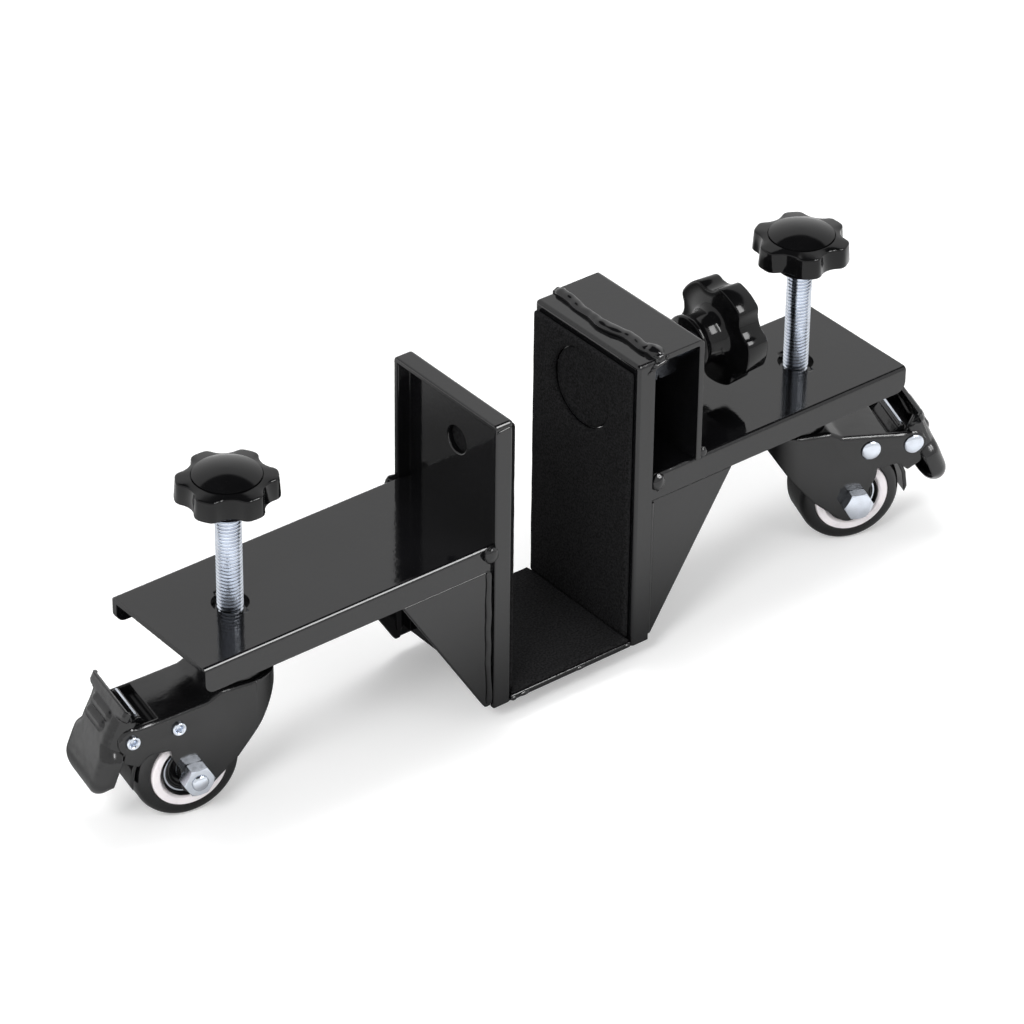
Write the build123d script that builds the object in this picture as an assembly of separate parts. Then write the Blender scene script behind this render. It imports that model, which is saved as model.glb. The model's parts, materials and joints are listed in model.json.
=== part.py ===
from build123d import *
import math
import os

os.makedirs("parts", exist_ok=True)

# Two-caster clamp cradle. Millimetres, +Z up, +X from the left caster to the right one.
# The origin is the centre of the cradle's seat: the top face of the floor foam.

# ---------------------------------------------------------------- welded frame
sheet = 3.0               # gauge of every pressed plate of the frame
foam = 3.0                # thickness of every foam lining
fold = 2.0                # outside radius of a folded edge
cradle_gap = 70.0         # steel to steel between the two uprights
upright_width = 74.0      # front to back
upright_height = 151.0    # underside of the floor plate to the top fold
upright_rim = 10.0        # depth of the folded rim round an upright
shelf_end = 200.0         # outer end of each shelf, from the middle of the cradle
shelf_width = 70.0        # front to back
shelf_depth = 13.0        # depth of the shelf's folded edges
shelf_top = 82.0          # top face of both shelves, above the seat
shelf_corner = 5.0        # radius of the lower outer corner of a shelf's fold
gusset_reach = 94.5       # outer corner of a gusset, from the middle of the cradle
gusset_foot = 3.0         # width of a gusset at its lower end
gusset_lift = 1.0         # lower end of a gusset above the frame's underside
bracket_reach = 73.5      # outer face of the clamp bracket, from the middle of the cradle
bracket_step = 1.0        # height of the bracket's top above the upright's top
foam_width = 70.0         # wall foams, front to back
foam_drop = 4.0           # top edge of the wall foams below the upright's top

# ---------------------------------------------------------------- screws and nuts
thread_dia = 12.0         # nominal size of the jack and clamp screws
thread_flat = 0.1         # the crest lies this much below the nominal radius
thread_play = 0.05        # radial clearance of a screw in its nut or knob
nut_flats = 18.0
nut_height = 10.8
jack_x = 162.0            # jack screw axis from the middle of the cradle
jack_hole_dia = 17.0      # clearance hole for a jack screw in its shelf
clamp_z = 117.0           # clamp screw axis above the seat
clamp_hole_play = 0.5     # radial clearance of the holes on the clamp screw's axis

# ---------------------------------------------------------------- star knobs
jack_knob_radius = 23.0   # to the tips of the lobes
jack_knob_lobes = 6
clamp_knob_radius = 25.5
clamp_knob_lobes = 5
valley_radius = 9.0       # radius of the hollows between the lobes
valley_depth = 4.0        # depth of the hollows below the tips
lobe_round = 4.5          # corner radius of a lobe, seen along the axis
knob_edge = 1.6           # bevel of the front edge
cap_radius = 15.5         # domed cap pressed into the knob's front
cap_seat = 1.0            # depth of the cap's seat
cap_rise = 4.0            # height of the dome above the knob's front
cap_gap = 0.15            # seam round the cap
jack_knob_z = {"left": 130.2, "right": 132.8}       # lower end of each jack knob's hub
jack_knob_turn = {"left": -2.0, "right": 30.0}       # how far each jack knob is turned, degrees
clamp_knob_turn = 26.0
jack_hub_radius = 11.0
jack_hub_length = 7.0
jack_star_height = 11.0
clamp_knob_x = 93.8       # inner end of the clamp knob's hub
clamp_hub_radius = 13.7   # flange at the end of the clamp knob's hub
clamp_hub_length = 16.2
clamp_star_height = 13.0
screw_in_knob = 6.0       # the screw ends this far short of the cap's seat

# ---------------------------------------------------------------- clamp foot
foot_radius = 19.2
foot_gap = 0.6            # radial gap round the foot in the upright and its foam
foot_sheet = 3.0
foot_setback = 2.0        # the foot's foam at rest lies this far behind the wall foam's face
foot_boss_radius = 9.0
foot_boss_length = 7.0
nose_radius = 4.0         # turned-down end of the clamp screw
nose_play = 0.3           # clearance of the nose, the clip and the shoulder in the foot
clip_radius = 6.6
clip_sheet = 1.2

# ---------------------------------------------------------------- casters
wheel_radius = 25.0
wheel_drop = 10.0         # bottom of the wheels below the frame's underside
crown_clear = 13.0        # tyre to the underside of the fork's crown
trail = 27.0              # axle behind the swivel axis
rest_swivel = {"left": 180.0 - 10.5, "right": -20.0}    # heading of each caster's trail, degrees
tyre_half_width = 12.0
tread_half_width = 8.0
shoulder_radius = 21.5    # where the tyre's rounded shoulder starts
rim_radius = 18.2
rim_half_width = 13.1
rim_lip_radius = 14.6     # inner edge of the pale ring
bearing_radius = 11.0
bearing_width = 7.0
bearing_gap = 5.2         # between the two bearings
axle_radius = 3.9         # M8 bolt
axle_play = 0.1
spacer_radius = 5.6
axle_end_play = 0.25      # between a bearing and the spacers beside it
bolt_flats = 13.0
bolt_head_height = 5.5
axle_nut_height = 6.5
bolt_stand_out = 1.4      # thread end beyond the nut

fork_sheet = 2.5
fork_half_width = 17.0
crown_front = 18.0        # front of the fork ahead of the swivel axis
crown_back = 13.0         # back edge of the fork's flat crown behind the swivel axis
crown_round = 16.0        # plan radius of the fork's two front corners
head_radius = 15.5
head_sheet = 2.0
head_skirt_gap = 0.8      # the head's skirt above the fork's crown
ball_radius = 2.0
ball_play = 0.25          # gap above and below each ball ring
upper_pitch = 10.5        # radius of the upper ball ring's middle
lower_pitch = 7.4
king_radius = 4.5         # neck of the jack screw that carries the fork
king_play = 0.7
lower_cup_radius = 11.0
king_head_radius = 6.5    # riveted-over end of the neck
king_head_height = 1.6

# ---------------------------------------------------------------- brake, placed from the axle
tongue_rivet = (6.6, wheel_radius + 2.5)
pedal_rivet = (wheel_radius + 3.3, wheel_radius + 2.0)
ear_radius = 6.7
rivet_radius = 2.2
rivet_play = 0.08
rivet_head_radius = 5.0
rivet_head_height = 2.0
rivet_tail_radius = 3.3
rivet_tail_bore = 1.4
brake_sheet = 1.8
side_play = 0.3           # between moving brake parts and the cheeks
tongue_tilt = 23.2        # direction from the axle to the shoe's middle, above level
tongue_gap = 1.5          # released shoe clear of the tyre
tongue_top = -17.5        # upper end of the shoe's flat, along the shoe from its middle
tongue_bend = 3.0         # lower end of the shoe's flat
tongue_tip = (wheel_radius + 2.0, -3.0)
tongue_half_width = 11.9
tongue_hub_radius = 3.1
pedal_hub_radius = 4.4
pedal_top = (pedal_rivet[0] + 2.2, pedal_rivet[1] + 15.5)      # outer face of the pedal at its top edge
pedal_bulge = (pedal_rivet[0] + 9.0, pedal_rivet[1] + 2.0)
pedal_tail = (pedal_rivet[0] + 21.3, pedal_rivet[1] - 28.5)    # outer face of the pedal at its lower edge
pedal_pan_top = pedal_rivet[1] - 12.0   # height where the pedal's turned-in rim ends
pedal_pan_depth = 5.5
pedal_corner = 15.0
pedal_edge = 1.4          # rounding of the pan's outer edge
rib_radius = 1.5          # pressed ribs across the pedal
rib_length = 20.0
cam_half_width = 6.0
cam_tip_radius = 1.2
cam_lead = 22.0           # the cam at rest points this far before square to the shoe, degrees

# ---------------------------------------------------------------- places that follow
screw_radius = thread_dia / 2 - thread_flat
clamp_hole_dia = thread_dia + 2 * clamp_hole_play
web_in = cradle_gap / 2
web_out = web_in + sheet
rim_x = web_in + upright_rim
base_z = -(foam + sheet)
upright_top = base_z + upright_height
shelf_low = shelf_top - shelf_depth
bracket_top = upright_top + bracket_step
bracket_in = bracket_reach - sheet
foot_opening = foot_radius + foot_gap
jack_knob_front = jack_hub_length + jack_star_height
clamp_knob_front = clamp_hub_length + clamp_star_height
axle_z = base_z - wheel_drop + wheel_radius
crown_low = wheel_radius + crown_clear             # this and the next three are above the axle
crown_top = crown_low + fork_sheet
head_top = crown_top + head_sheet + 2 * (ball_radius + ball_play)
cup_top = crown_low - 2 * (ball_radius + ball_play)
cheek_in = fork_half_width - fork_sheet
brake_half_width = cheek_in - side_play
clamp_foot_x = web_in - foam + foot_setback        # front face of the foot's foam
shelf_half = shelf_width / 2


# ---------------------------------------------------------------- shared shapes
def outline(corners):
    """Closed face from (x, y, corner radius) triples; radius 0 keeps a corner sharp."""
    face = Polygon(*[(x, y) for x, y, radius in corners], align=None)
    for x, y, radius in corners:
        if radius:
            face = fillet(face.vertices().sort_by_distance((x, y, 0))[0], radius)
    return face


def across(face, low, high):
    """Slab of a side outline (x, z), from y = low to y = high."""
    slab = extrude(Plane.XZ * face, amount=(high - low) / 2, both=True)
    return Pos(0, (low + high) / 2, 0) * slab


def disc(radius, low, high):
    """Cylinder about the Z axis."""
    return Pos(0, 0, low) * extrude(Circle(radius), amount=high - low)


def ring(inner, outer, low, high):
    """Tube about the Z axis."""
    return disc(outer, low, high) - disc(inner, low, high)


def turned(points, axis=Axis.Z):
    """Solid of revolution from (radius, height) points."""
    face = Polygon(*points, align=None)
    return revolve(Plane.XZ * face if axis == Axis.Z else face, axis)


def hexagon(flats, bore, low, high):
    """Hexagon nut or head about the Z axis with chamfered corners."""
    prism = Pos(0, 0, low) * extrude(RegularPolygon(flats / 2, 6, major_radius=False), amount=high - low)
    corner = flats / math.sqrt(3)
    bevel = (corner - flats / 2) * 0.6
    blank = turned([(0, low), (flats / 2, low), (corner, low + bevel), (corner, high - bevel),
                    (flats / 2, high), (0, high)])
    body = prism & blank
    return body - disc(bore, low, high) if bore else body


def save(part, name):
    export_step(part, f"parts/{name}.step")


def on_side(part, side):
    """The right-hand piece as built, or its mirror image for the left."""
    return part if side == "right" else mirror(part, about=Plane.YZ)


# ---------------------------------------------------------------- welded frame
def upright(hole_radius):
    """Pressed upright: a web with a rim folded back along both sides and the top."""
    blank = Box(upright_rim, upright_width, upright_height, align=(Align.MIN, Align.CENTER, Align.MIN))
    hollow = Box(upright_rim, upright_width - 2 * sheet, upright_height - sheet,
                 align=(Align.MIN, Align.CENTER, Align.MIN))
    tray = Pos(web_in, 0, base_z) * blank - Pos(web_out, 0, base_z) * hollow
    front = tray.edges().filter_by_position(Axis.X, web_in, web_in)
    corners = tray.edges().filter_by(Axis.X).filter_by_position(Axis.Z, upright_top, upright_top)
    outer = corners.sort_by(Axis.Y)
    tray = fillet(front.sort_by(Axis.Z)[1:] + [outer[0], outer[-1]], fold)
    return tray - Pos(web_in, 0, clamp_z) * Rot(0, 90, 0) * Cylinder(hole_radius, 4 * sheet)


def shelf():
    """Inverted channel with a tongue that passes between the upright's rims to its web."""
    length = shelf_end - rim_x
    middle = rim_x + length / 2
    channel = Pos(middle, 0, shelf_top - shelf_depth / 2) * Box(length, shelf_width, shelf_depth)
    folds = channel.edges().filter_by(Axis.X).filter_by_position(Axis.Z, shelf_top, shelf_top)
    channel = fillet(folds, fold)
    low_end = channel.edges().filter_by(Axis.Y).filter_by_position(Axis.X, shelf_end, shelf_end)
    channel = fillet(low_end.sort_by(Axis.Z)[0], shelf_corner)
    hollow = Box(2 * length, shelf_width - 2 * sheet, shelf_depth)
    channel -= Pos(middle, 0, shelf_top - sheet - shelf_depth / 2) * hollow
    tab_width = upright_width - 2 * sheet
    tab = Pos((web_out + rim_x) / 2, 0, shelf_top - sheet / 2) * Box(rim_x - web_out, tab_width, sheet)
    hole = Pos(jack_x, 0, shelf_top) * Cylinder(jack_hole_dia / 2, 4 * sheet)
    return channel + tab - hole


def gusset(low, high):
    """Triangular plate between a shelf's fold and an upright's rim."""
    foot_z = base_z + gusset_lift
    corners = [(rim_x, shelf_low, 0), (gusset_reach, shelf_low, 0),
               (rim_x + gusset_foot, foot_z, 0), (rim_x, foot_z, 0)]
    return across(outline(corners), low, high)


def clamp_bracket():
    """Inverted L that carries the clamp nut behind the right upright."""
    corners = [(rim_x, bracket_top, 0), (bracket_reach, bracket_top, fold + 1),
               (bracket_reach, shelf_top, 0), (bracket_in, shelf_top, 0),
               (bracket_in, bracket_top - sheet, 1), (rim_x, bracket_top - sheet, 0)]
    body = across(outline(corners), -upright_width / 2, upright_width / 2)
    return body - Pos(bracket_reach, 0, clamp_z) * Rot(0, 90, 0) * Cylinder(clamp_hole_dia / 2, 4 * sheet)


def cradle_floor():
    return Pos(0, 0, base_z + sheet / 2) * Box(cradle_gap, upright_width, sheet)


def wall_foam(hole_radius):
    """Foam lining of one upright, mitred at the floor, with a round opening for the clamp foot."""
    top = upright_top - foam_drop
    section = outline([(web_in, -foam, 0), (web_in, top, 0), (web_in - foam, top, 0), (web_in - foam, 0, 0)])
    pad = across(section, -foam_width / 2, foam_width / 2)
    if hole_radius:
        pad -= Pos(web_in, 0, clamp_z) * Rot(0, 90, 0) * Cylinder(hole_radius, 4 * foam)
    return pad


def floor_foam():
    """Foam of the seat, mitred at both ends against the wall foams."""
    section = outline([(-web_in, -foam, 0), (web_in, -foam, 0), (web_in - foam, 0, 0), (foam - web_in, 0, 0)])
    return across(section, -upright_width / 2, upright_width / 2)


def jack_nut():
    """Nut welded under the shelf on the jack screw's axis."""
    top = shelf_top - sheet
    return Pos(jack_x, 0, 0) * hexagon(nut_flats, screw_radius + thread_play, top - nut_height, top)


# ---------------------------------------------------------------- star knobs and their screws
def star(radius, lobes, height):
    """Lobed body of a knob, back face at z = 0."""
    hollow_at = radius - valley_depth + valley_radius
    face = Circle(radius) - PolarLocations(hollow_at, lobes) * Circle(valley_radius)
    face = fillet(face.vertices(), lobe_round)
    body = extrude(face, amount=height)
    return chamfer(body.edges().filter_by_position(Axis.Z, height, height), knob_edge, knob_edge)


def knob(blank, hub, front):
    """Knob along +Z from a star blank and a hub's turned outline, with its hub's end at z = 0."""
    body = blank + turned(hub)
    body -= disc(cap_radius, front - cap_seat, front + 1)
    return body - disc(screw_radius + thread_play, -1, front - cap_seat - screw_in_knob)


def knob_cap(front):
    """Domed cap in the knob's front face."""
    radius = cap_radius - cap_gap
    rim = front + 0.6
    side = Polyline((radius, rim), (radius, front - cap_seat), (0, front - cap_seat), (0, front + cap_rise))
    lean = 0.55 * cap_rise
    dome = ThreePointArc((0, front + cap_rise), (radius * 0.56, rim + lean + 0.1), (radius, rim))
    return revolve(Plane.XZ * make_face(side + dome), Axis.Z)


def jack_knob():
    hub = [(0, 0), (jack_hub_radius - 1, 0), (jack_hub_radius, 1),
           (jack_hub_radius, jack_hub_length + 1), (0, jack_hub_length + 1)]
    blank = Pos(0, 0, jack_hub_length) * star(jack_knob_radius, jack_knob_lobes, jack_star_height)
    return knob(blank, hub, jack_knob_front)


def clamp_knob():
    waist = clamp_hub_radius - 1.7
    hub = [(0, 0), (clamp_hub_radius - 0.8, 0), (clamp_hub_radius, 0.8), (clamp_hub_radius, 2.4), (waist, 4),
           (waist, clamp_hub_length - 4), (waist + 4, clamp_hub_length + 1), (0, clamp_hub_length + 1)]
    blank = Pos(0, 0, clamp_hub_length) * star(clamp_knob_radius, clamp_knob_lobes, clamp_star_height)
    return knob(blank, hub, clamp_knob_front)


def jack_screw():
    """Threaded rod from the knob down to the swivel head, with the neck that carries the fork."""
    head_z = axle_z + head_top
    end = min(jack_knob_z.values()) + jack_knob_front - cap_seat - screw_in_knob
    cup_low = axle_z + cup_top - head_sheet
    return turned([(0, cup_low - king_head_height), (king_head_radius - 1, cup_low - king_head_height),
                   (king_head_radius, cup_low - king_head_height + 0.8), (king_head_radius, cup_low),
                   (king_radius, cup_low), (king_radius, head_z), (screw_radius, head_z),
                   (screw_radius, end - 1), (screw_radius - 1, end), (0, end)])


def along_clamp(part):
    """Turn a piece built up +Z, from z = 0 at the middle of the cradle, onto the clamp's axis."""
    return Pos(0, 0, clamp_z) * Rot(0, 90, 0) * part


def clamp_screw():
    front = clamp_foot_x + foam + nose_play
    shoulder = clamp_foot_x + foam + foot_sheet + foot_boss_length + nose_play
    end = clamp_knob_x + clamp_knob_front - cap_seat - screw_in_knob
    rod = turned([(0, front), (nose_radius, front), (nose_radius, shoulder), (screw_radius, shoulder),
                  (screw_radius, end - 1), (screw_radius - 1, end), (0, end)])
    return along_clamp(rod)


def clamp_foot():
    """Pressure disc with a boss behind it and a recess in front for the clip."""
    front = clamp_foot_x + foam
    back = front + foot_sheet
    recess = clip_sheet + 3 * nose_play
    bore = nose_radius + nose_play
    body = turned([(bore, front + recess), (clip_radius + 2 * nose_play, front + recess),
                   (clip_radius + 2 * nose_play, front), (foot_radius, front), (foot_radius, back),
                   (foot_boss_radius + 2, back), (foot_boss_radius, back + 2),
                   (foot_boss_radius, back + foot_boss_length), (bore, back + foot_boss_length)])
    return along_clamp(body)


def clamp_foot_clip():
    """Open ring on the screw's nose that keeps the foot on it."""
    low = clamp_foot_x + foam + 2 * nose_play
    clip = ring(nose_radius, clip_radius, low, low + clip_sheet)
    return along_clamp(clip - Pos(clip_radius, 0, low) * Box(2 * clip_radius, 3, 4 * clip_sheet))


def clamp_foot_foam():
    return along_clamp(disc(foot_radius, clamp_foot_x, clamp_foot_x + foam))


# ---------------------------------------------------------------- caster, built round its axle
# In these functions x runs back along the trail, z up, and the origin is the middle of the axle.
def tyre():
    """Solid tread with bevelled shoulders and flat flanks."""
    mid_radius = (shoulder_radius + wheel_radius) / 2 + 0.75
    mid_width = (tyre_half_width + tread_half_width) / 2 + 0.95
    half = [(rim_radius, tyre_half_width), (shoulder_radius, tyre_half_width),
            (mid_radius, mid_width), (wheel_radius, tread_half_width)]
    mirrored = [(r, -y) for r, y in reversed(half)]
    return turned(half + mirrored, Axis.Y)


def rim():
    """Wheel centre: pale outer ring, dished face, two bearing seats and a shoulder between them."""
    inner = bearing_gap / 2
    outer = inner + bearing_width
    half = [(bearing_radius - 2.5, inner), (bearing_radius, inner), (bearing_radius, outer + 0.3),
            (bearing_radius + 1.4, outer + 0.3), (rim_lip_radius, rim_half_width),
            (rim_radius - 0.6, rim_half_width), (rim_radius, rim_half_width - 0.6)]
    mirrored = [(r, -y) for r, y in reversed(half)]
    return turned(half + mirrored, Axis.Y)


def wheel_bearings():
    """Two sealed ball bearings, each as one plain ring."""
    inner = bearing_gap / 2
    bore = axle_radius + axle_play
    rings = [turned([(bore, side * inner), (bearing_radius, side * inner),
                     (bearing_radius, side * (inner + bearing_width)),
                     (bore, side * (inner + bearing_width))], Axis.Y) for side in (-1, 1)]
    return Compound([solid for part in rings for solid in part.solids()])


def axle_spacers():
    """Tube between the bearings and a bush from each bearing to its cheek."""
    bore = axle_radius + axle_play
    inner = bearing_gap / 2 - axle_end_play
    outer = bearing_gap / 2 + bearing_width + axle_end_play
    spans = [(-cheek_in, -outer), (-inner, inner), (outer, cheek_in)]
    tubes = [turned([(bore, low), (spacer_radius, low), (spacer_radius, high), (bore, high)], Axis.Y)
             for low, high in spans]
    return Compound([solid for part in tubes for solid in part.solids()])


def along_axle(part):
    """Turn a piece built up +Z so that +Z becomes +Y."""
    return Rot(-90, 0, 0) * part


def axle_bolt():
    head_out = fork_half_width + bolt_head_height
    end = fork_half_width + axle_nut_height + bolt_stand_out
    head = hexagon(bolt_flats, 0, -head_out, -fork_half_width)
    shank = turned([(0, -fork_half_width), (axle_radius, -fork_half_width), (axle_radius, end - 0.8),
                    (axle_radius - 0.8, end), (0, end)])
    return along_axle(head + shank)


def axle_nut():
    return along_axle(hexagon(bolt_flats, axle_radius + thread_play, fork_half_width,
                              fork_half_width + axle_nut_height))


def cheek_outline():
    """Side of the fork: crown, front edge, lobe round the axle, trailing leg and brake ear."""
    back = -trail + crown_back
    corners = [
        (-trail - crown_front, crown_top, 1.5), (-trail - crown_front + 1, crown_top - 6.5, 6), (-33.6, 18.2, 12),
        (-21.7, 3.4, 0), (-3, -12.4, 7), (5.8, -6.5, 3), (6, 4.5, 6), (9.8, 11.5, 4), (10.6, 16.6, 1),
        (20.6, 17.5, 3), (26, 13, 0.8), (33, 17, 2), (pedal_rivet[0] + 1.7, ear_radius + pedal_rivet[1] - 1, 0),
        (16.4, pedal_rivet[1] + 7, 0), (back + 6, crown_top - 3.5, 6), (back, crown_top, 2)]
    return outline(corners) + Pos(*pedal_rivet) * Circle(ear_radius)


def fork():
    """Pressed fork: two cheeks, a rounded front skirt and a crown, open behind and below."""
    reach = 60
    body = across(cheek_outline(), -fork_half_width, fork_half_width)
    front = -trail - crown_front
    plan = outline([(front, -fork_half_width, crown_round), (reach, -fork_half_width, 0),
                    (reach, fork_half_width, 0), (front, fork_half_width, crown_round)])
    inner_front = front + fork_sheet
    inner_round = crown_round - fork_sheet
    inner = outline([(inner_front, -cheek_in, inner_round), (reach, -cheek_in, 0),
                     (reach, cheek_in, 0), (inner_front, cheek_in, inner_round)])
    body &= Pos(0, 0, -reach) * extrude(plan, amount=2 * reach)
    back = -trail + crown_back
    bridge_end, bridge_low = 15.5, tongue_rivet[1] + 4.0
    hollow = outline([(-reach, -reach, 0), (-reach, crown_low, 0), (back - 1, crown_low, 2),
                      (back + 5, crown_low - 3.5, 4), (bridge_end, bridge_low, 0), (bridge_end, reach, 0),
                      (reach, reach, 0), (reach, -reach, 0)])
    room = across(hollow, -cheek_in, cheek_in) & Pos(0, 0, -reach) * extrude(inner, amount=2 * reach)
    body -= room
    body -= Pos(-trail, 0, crown_top) * Cylinder(king_radius + king_play, 4 * fork_sheet)
    body -= across(Circle(axle_radius + axle_play), -reach, reach)
    for at in (tongue_rivet, pedal_rivet):
        body -= across(Pos(*at) * Circle(rivet_radius + rivet_play), -reach, reach)
    return body


def swivel_head():
    """Domed cap over the upper ball ring, carried by the jack screw."""
    low = crown_top + head_skirt_gap
    under = head_top - head_sheet
    inside = head_radius - head_sheet
    cap = turned([(king_radius, under), (inside - 1, under), (inside, under - 1), (inside, low),
                  (head_radius, low), (head_radius, head_top - 2.2), (head_radius - 0.7, head_top - 0.7),
                  (head_radius - 2.2, head_top), (king_radius, head_top)])
    return Pos(-trail, 0, 0) * cap


def lower_cup():
    """Dished washer under the fork's crown that holds the lower ball ring."""
    low = cup_top - head_sheet
    cup = turned([(king_radius, low), (lower_cup_radius - 1.5, low), (lower_cup_radius, low + 1.5),
                  (lower_cup_radius, cup_top + ball_radius), (lower_cup_radius - 1.2, cup_top + ball_radius),
                  (lower_cup_radius - 1.2, cup_top), (king_radius, cup_top)])
    return Pos(-trail, 0, 0) * cup


def swivel_bearings():
    """Caged ball rings above and below the fork's crown, each as one plain ring."""
    rings = []
    for pitch, low in ((upper_pitch, crown_top + ball_play), (lower_pitch, cup_top + ball_play)):
        cage = ring(pitch - ball_radius, pitch + ball_radius, low, low + 2 * ball_radius)
        rings.append(Pos(-trail, 0, 0) * cage)
    return Compound([solid for part in rings for solid in part.solids()])


def rivet(at):
    """Domed rivet through both cheeks with a rolled hollow tail."""
    edge = fork_half_width
    head = rivet_head_height
    profile = [(0, -edge - head), (rivet_head_radius * 0.55, -edge - head * 0.85),
               (rivet_head_radius, -edge - 0.3), (rivet_head_radius, -edge), (rivet_radius, -edge),
               (rivet_radius, edge), (rivet_tail_radius, edge), (rivet_tail_radius - 0.4, edge + head * 0.8),
               (rivet_tail_bore, edge + head * 0.8), (rivet_tail_bore, edge), (0, edge)]
    return Pos(at[0], 0, at[1]) * turned(profile, Axis.Y)


def brake_rivets():
    parts = [rivet(tongue_rivet), rivet(pedal_rivet)]
    return Compound([solid for part in parts for solid in part.solids()])


def brake_tongue():
    """Shoe tangent to the tyre with a bent tip, hung from the tongue rivet, with a spring bar on top."""
    tilt = math.radians(tongue_tilt)
    out = (math.cos(tilt), math.sin(tilt))       # from the axle square to the shoe
    down = (math.sin(tilt), -math.cos(tilt))     # along the shoe, towards its tip
    near = wheel_radius + tongue_gap
    far = near + brake_sheet

    def on_shoe(distance, along):
        return (distance * out[0] + along * down[0], distance * out[1] + along * down[1])

    tip_x, tip_z = tongue_tip
    shoe = outline([(*on_shoe(near, tongue_top), 0), (*on_shoe(near, tongue_bend), 0), (tip_x, tip_z, 0),
                    (tip_x + brake_sheet * 0.7, tip_z + 3, 0), (*on_shoe(far, tongue_bend), 0),
                    (*on_shoe(far, tongue_top), 0)])
    hub_x, hub_z = tongue_rivet
    strap_top = hub_z + tongue_hub_radius
    knee = on_shoe(far, tongue_top)
    strap = outline([(hub_x, strap_top - brake_sheet, 0), (hub_x, strap_top, 0),
                     (knee[0] - 1.5, strap_top, 0), (knee[0] + 3.4, strap_top + 4.2, 0),
                     (knee[0] + 5.2, strap_top + 2.6, 0), (*knee, 0),
                     (*on_shoe(near, tongue_top + 1), 0)])
    bar = Pos(knee[0] + 4.3, strap_top + 3.3) * Circle(1.9)
    body = across(shoe + strap + bar, -tongue_half_width, tongue_half_width)
    body += across(Pos(*tongue_rivet) * Circle(tongue_hub_radius), -brake_half_width, brake_half_width)
    return body - across(Pos(*tongue_rivet) * Circle(rivet_radius + rivet_play), -50, 50)


def pedal_band(inset, depth, low, high):
    """Side outline of a strip that follows the pedal's face, from inset to depth inside it."""
    face = ThreePointArc(pedal_top, pedal_bulge, pedal_tail)
    middle = face.arc_center
    radius = face.radius
    disc = Pos(middle.X, middle.Y) * (Circle(radius - inset) - Circle(radius - depth))
    return disc & Pos(0, (low + high) / 2) * Rectangle(400, high - low)


def pedal_face(inset, reach=70):
    """Front outline of the pedal, with round lower corners, as a block to intersect with."""
    half = fork_half_width - inset
    low = pedal_tail[1] + inset
    corner = pedal_corner - inset
    face = outline([(-half, low, corner), (half, low, corner), (half, 60, 0), (-half, 60, 0)])
    return Rot(0, 0, 90) * across(face, -reach, reach)


def right_of(x, z_low, z_high):
    """Large block that keeps what lies beyond x between two heights."""
    block = Box(100, 100, z_high - z_low, align=(Align.MIN, Align.CENTER, Align.CENTER))
    return Pos(x, 0, (z_low + z_high) / 2) * block


def pedal_cam():
    """Lobe on the pedal's hub that pushes the shoe towards the tyre as the pedal is pressed."""
    tilt = math.radians(tongue_tilt)
    pivot_x, pivot_z = pedal_rivet
    to_shoe = pivot_x * math.cos(tilt) + pivot_z * math.sin(tilt) - wheel_radius - tongue_gap - brake_sheet
    throw = (to_shoe - side_play - cam_tip_radius) / math.cos(math.radians(cam_lead))
    root, tip = 3.0, cam_tip_radius
    lobe = outline([(0, root, 0), (0, -root, 0), (throw, -tip, 0), (throw, tip, 0)])
    lobe += Pos(throw, 0) * Circle(tip)
    return Pos(pivot_x, pivot_z) * Rot(0, 0, 180 + tongue_tilt + cam_lead) * lobe


def outer_edges(body, low, top):
    """Edges all round the pedal's outer face, but for the one along its top."""
    arc = ThreePointArc(pedal_top, pedal_bulge, pedal_tail)
    middle = Vector(arc.arc_center.X, 0, arc.arc_center.Y)

    def off_face(spot):
        return abs((Vector(spot.X, 0, spot.Z) - middle).length - arc.radius)

    found = []
    for edge in body.edges():
        spots = [edge @ share for share in (0.02, 0.5, 0.98)]
        if max(off_face(spot) for spot in spots) < 0.01 and spots[1].Z < top - 0.01:
            found.append(edge)
    return found


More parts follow.
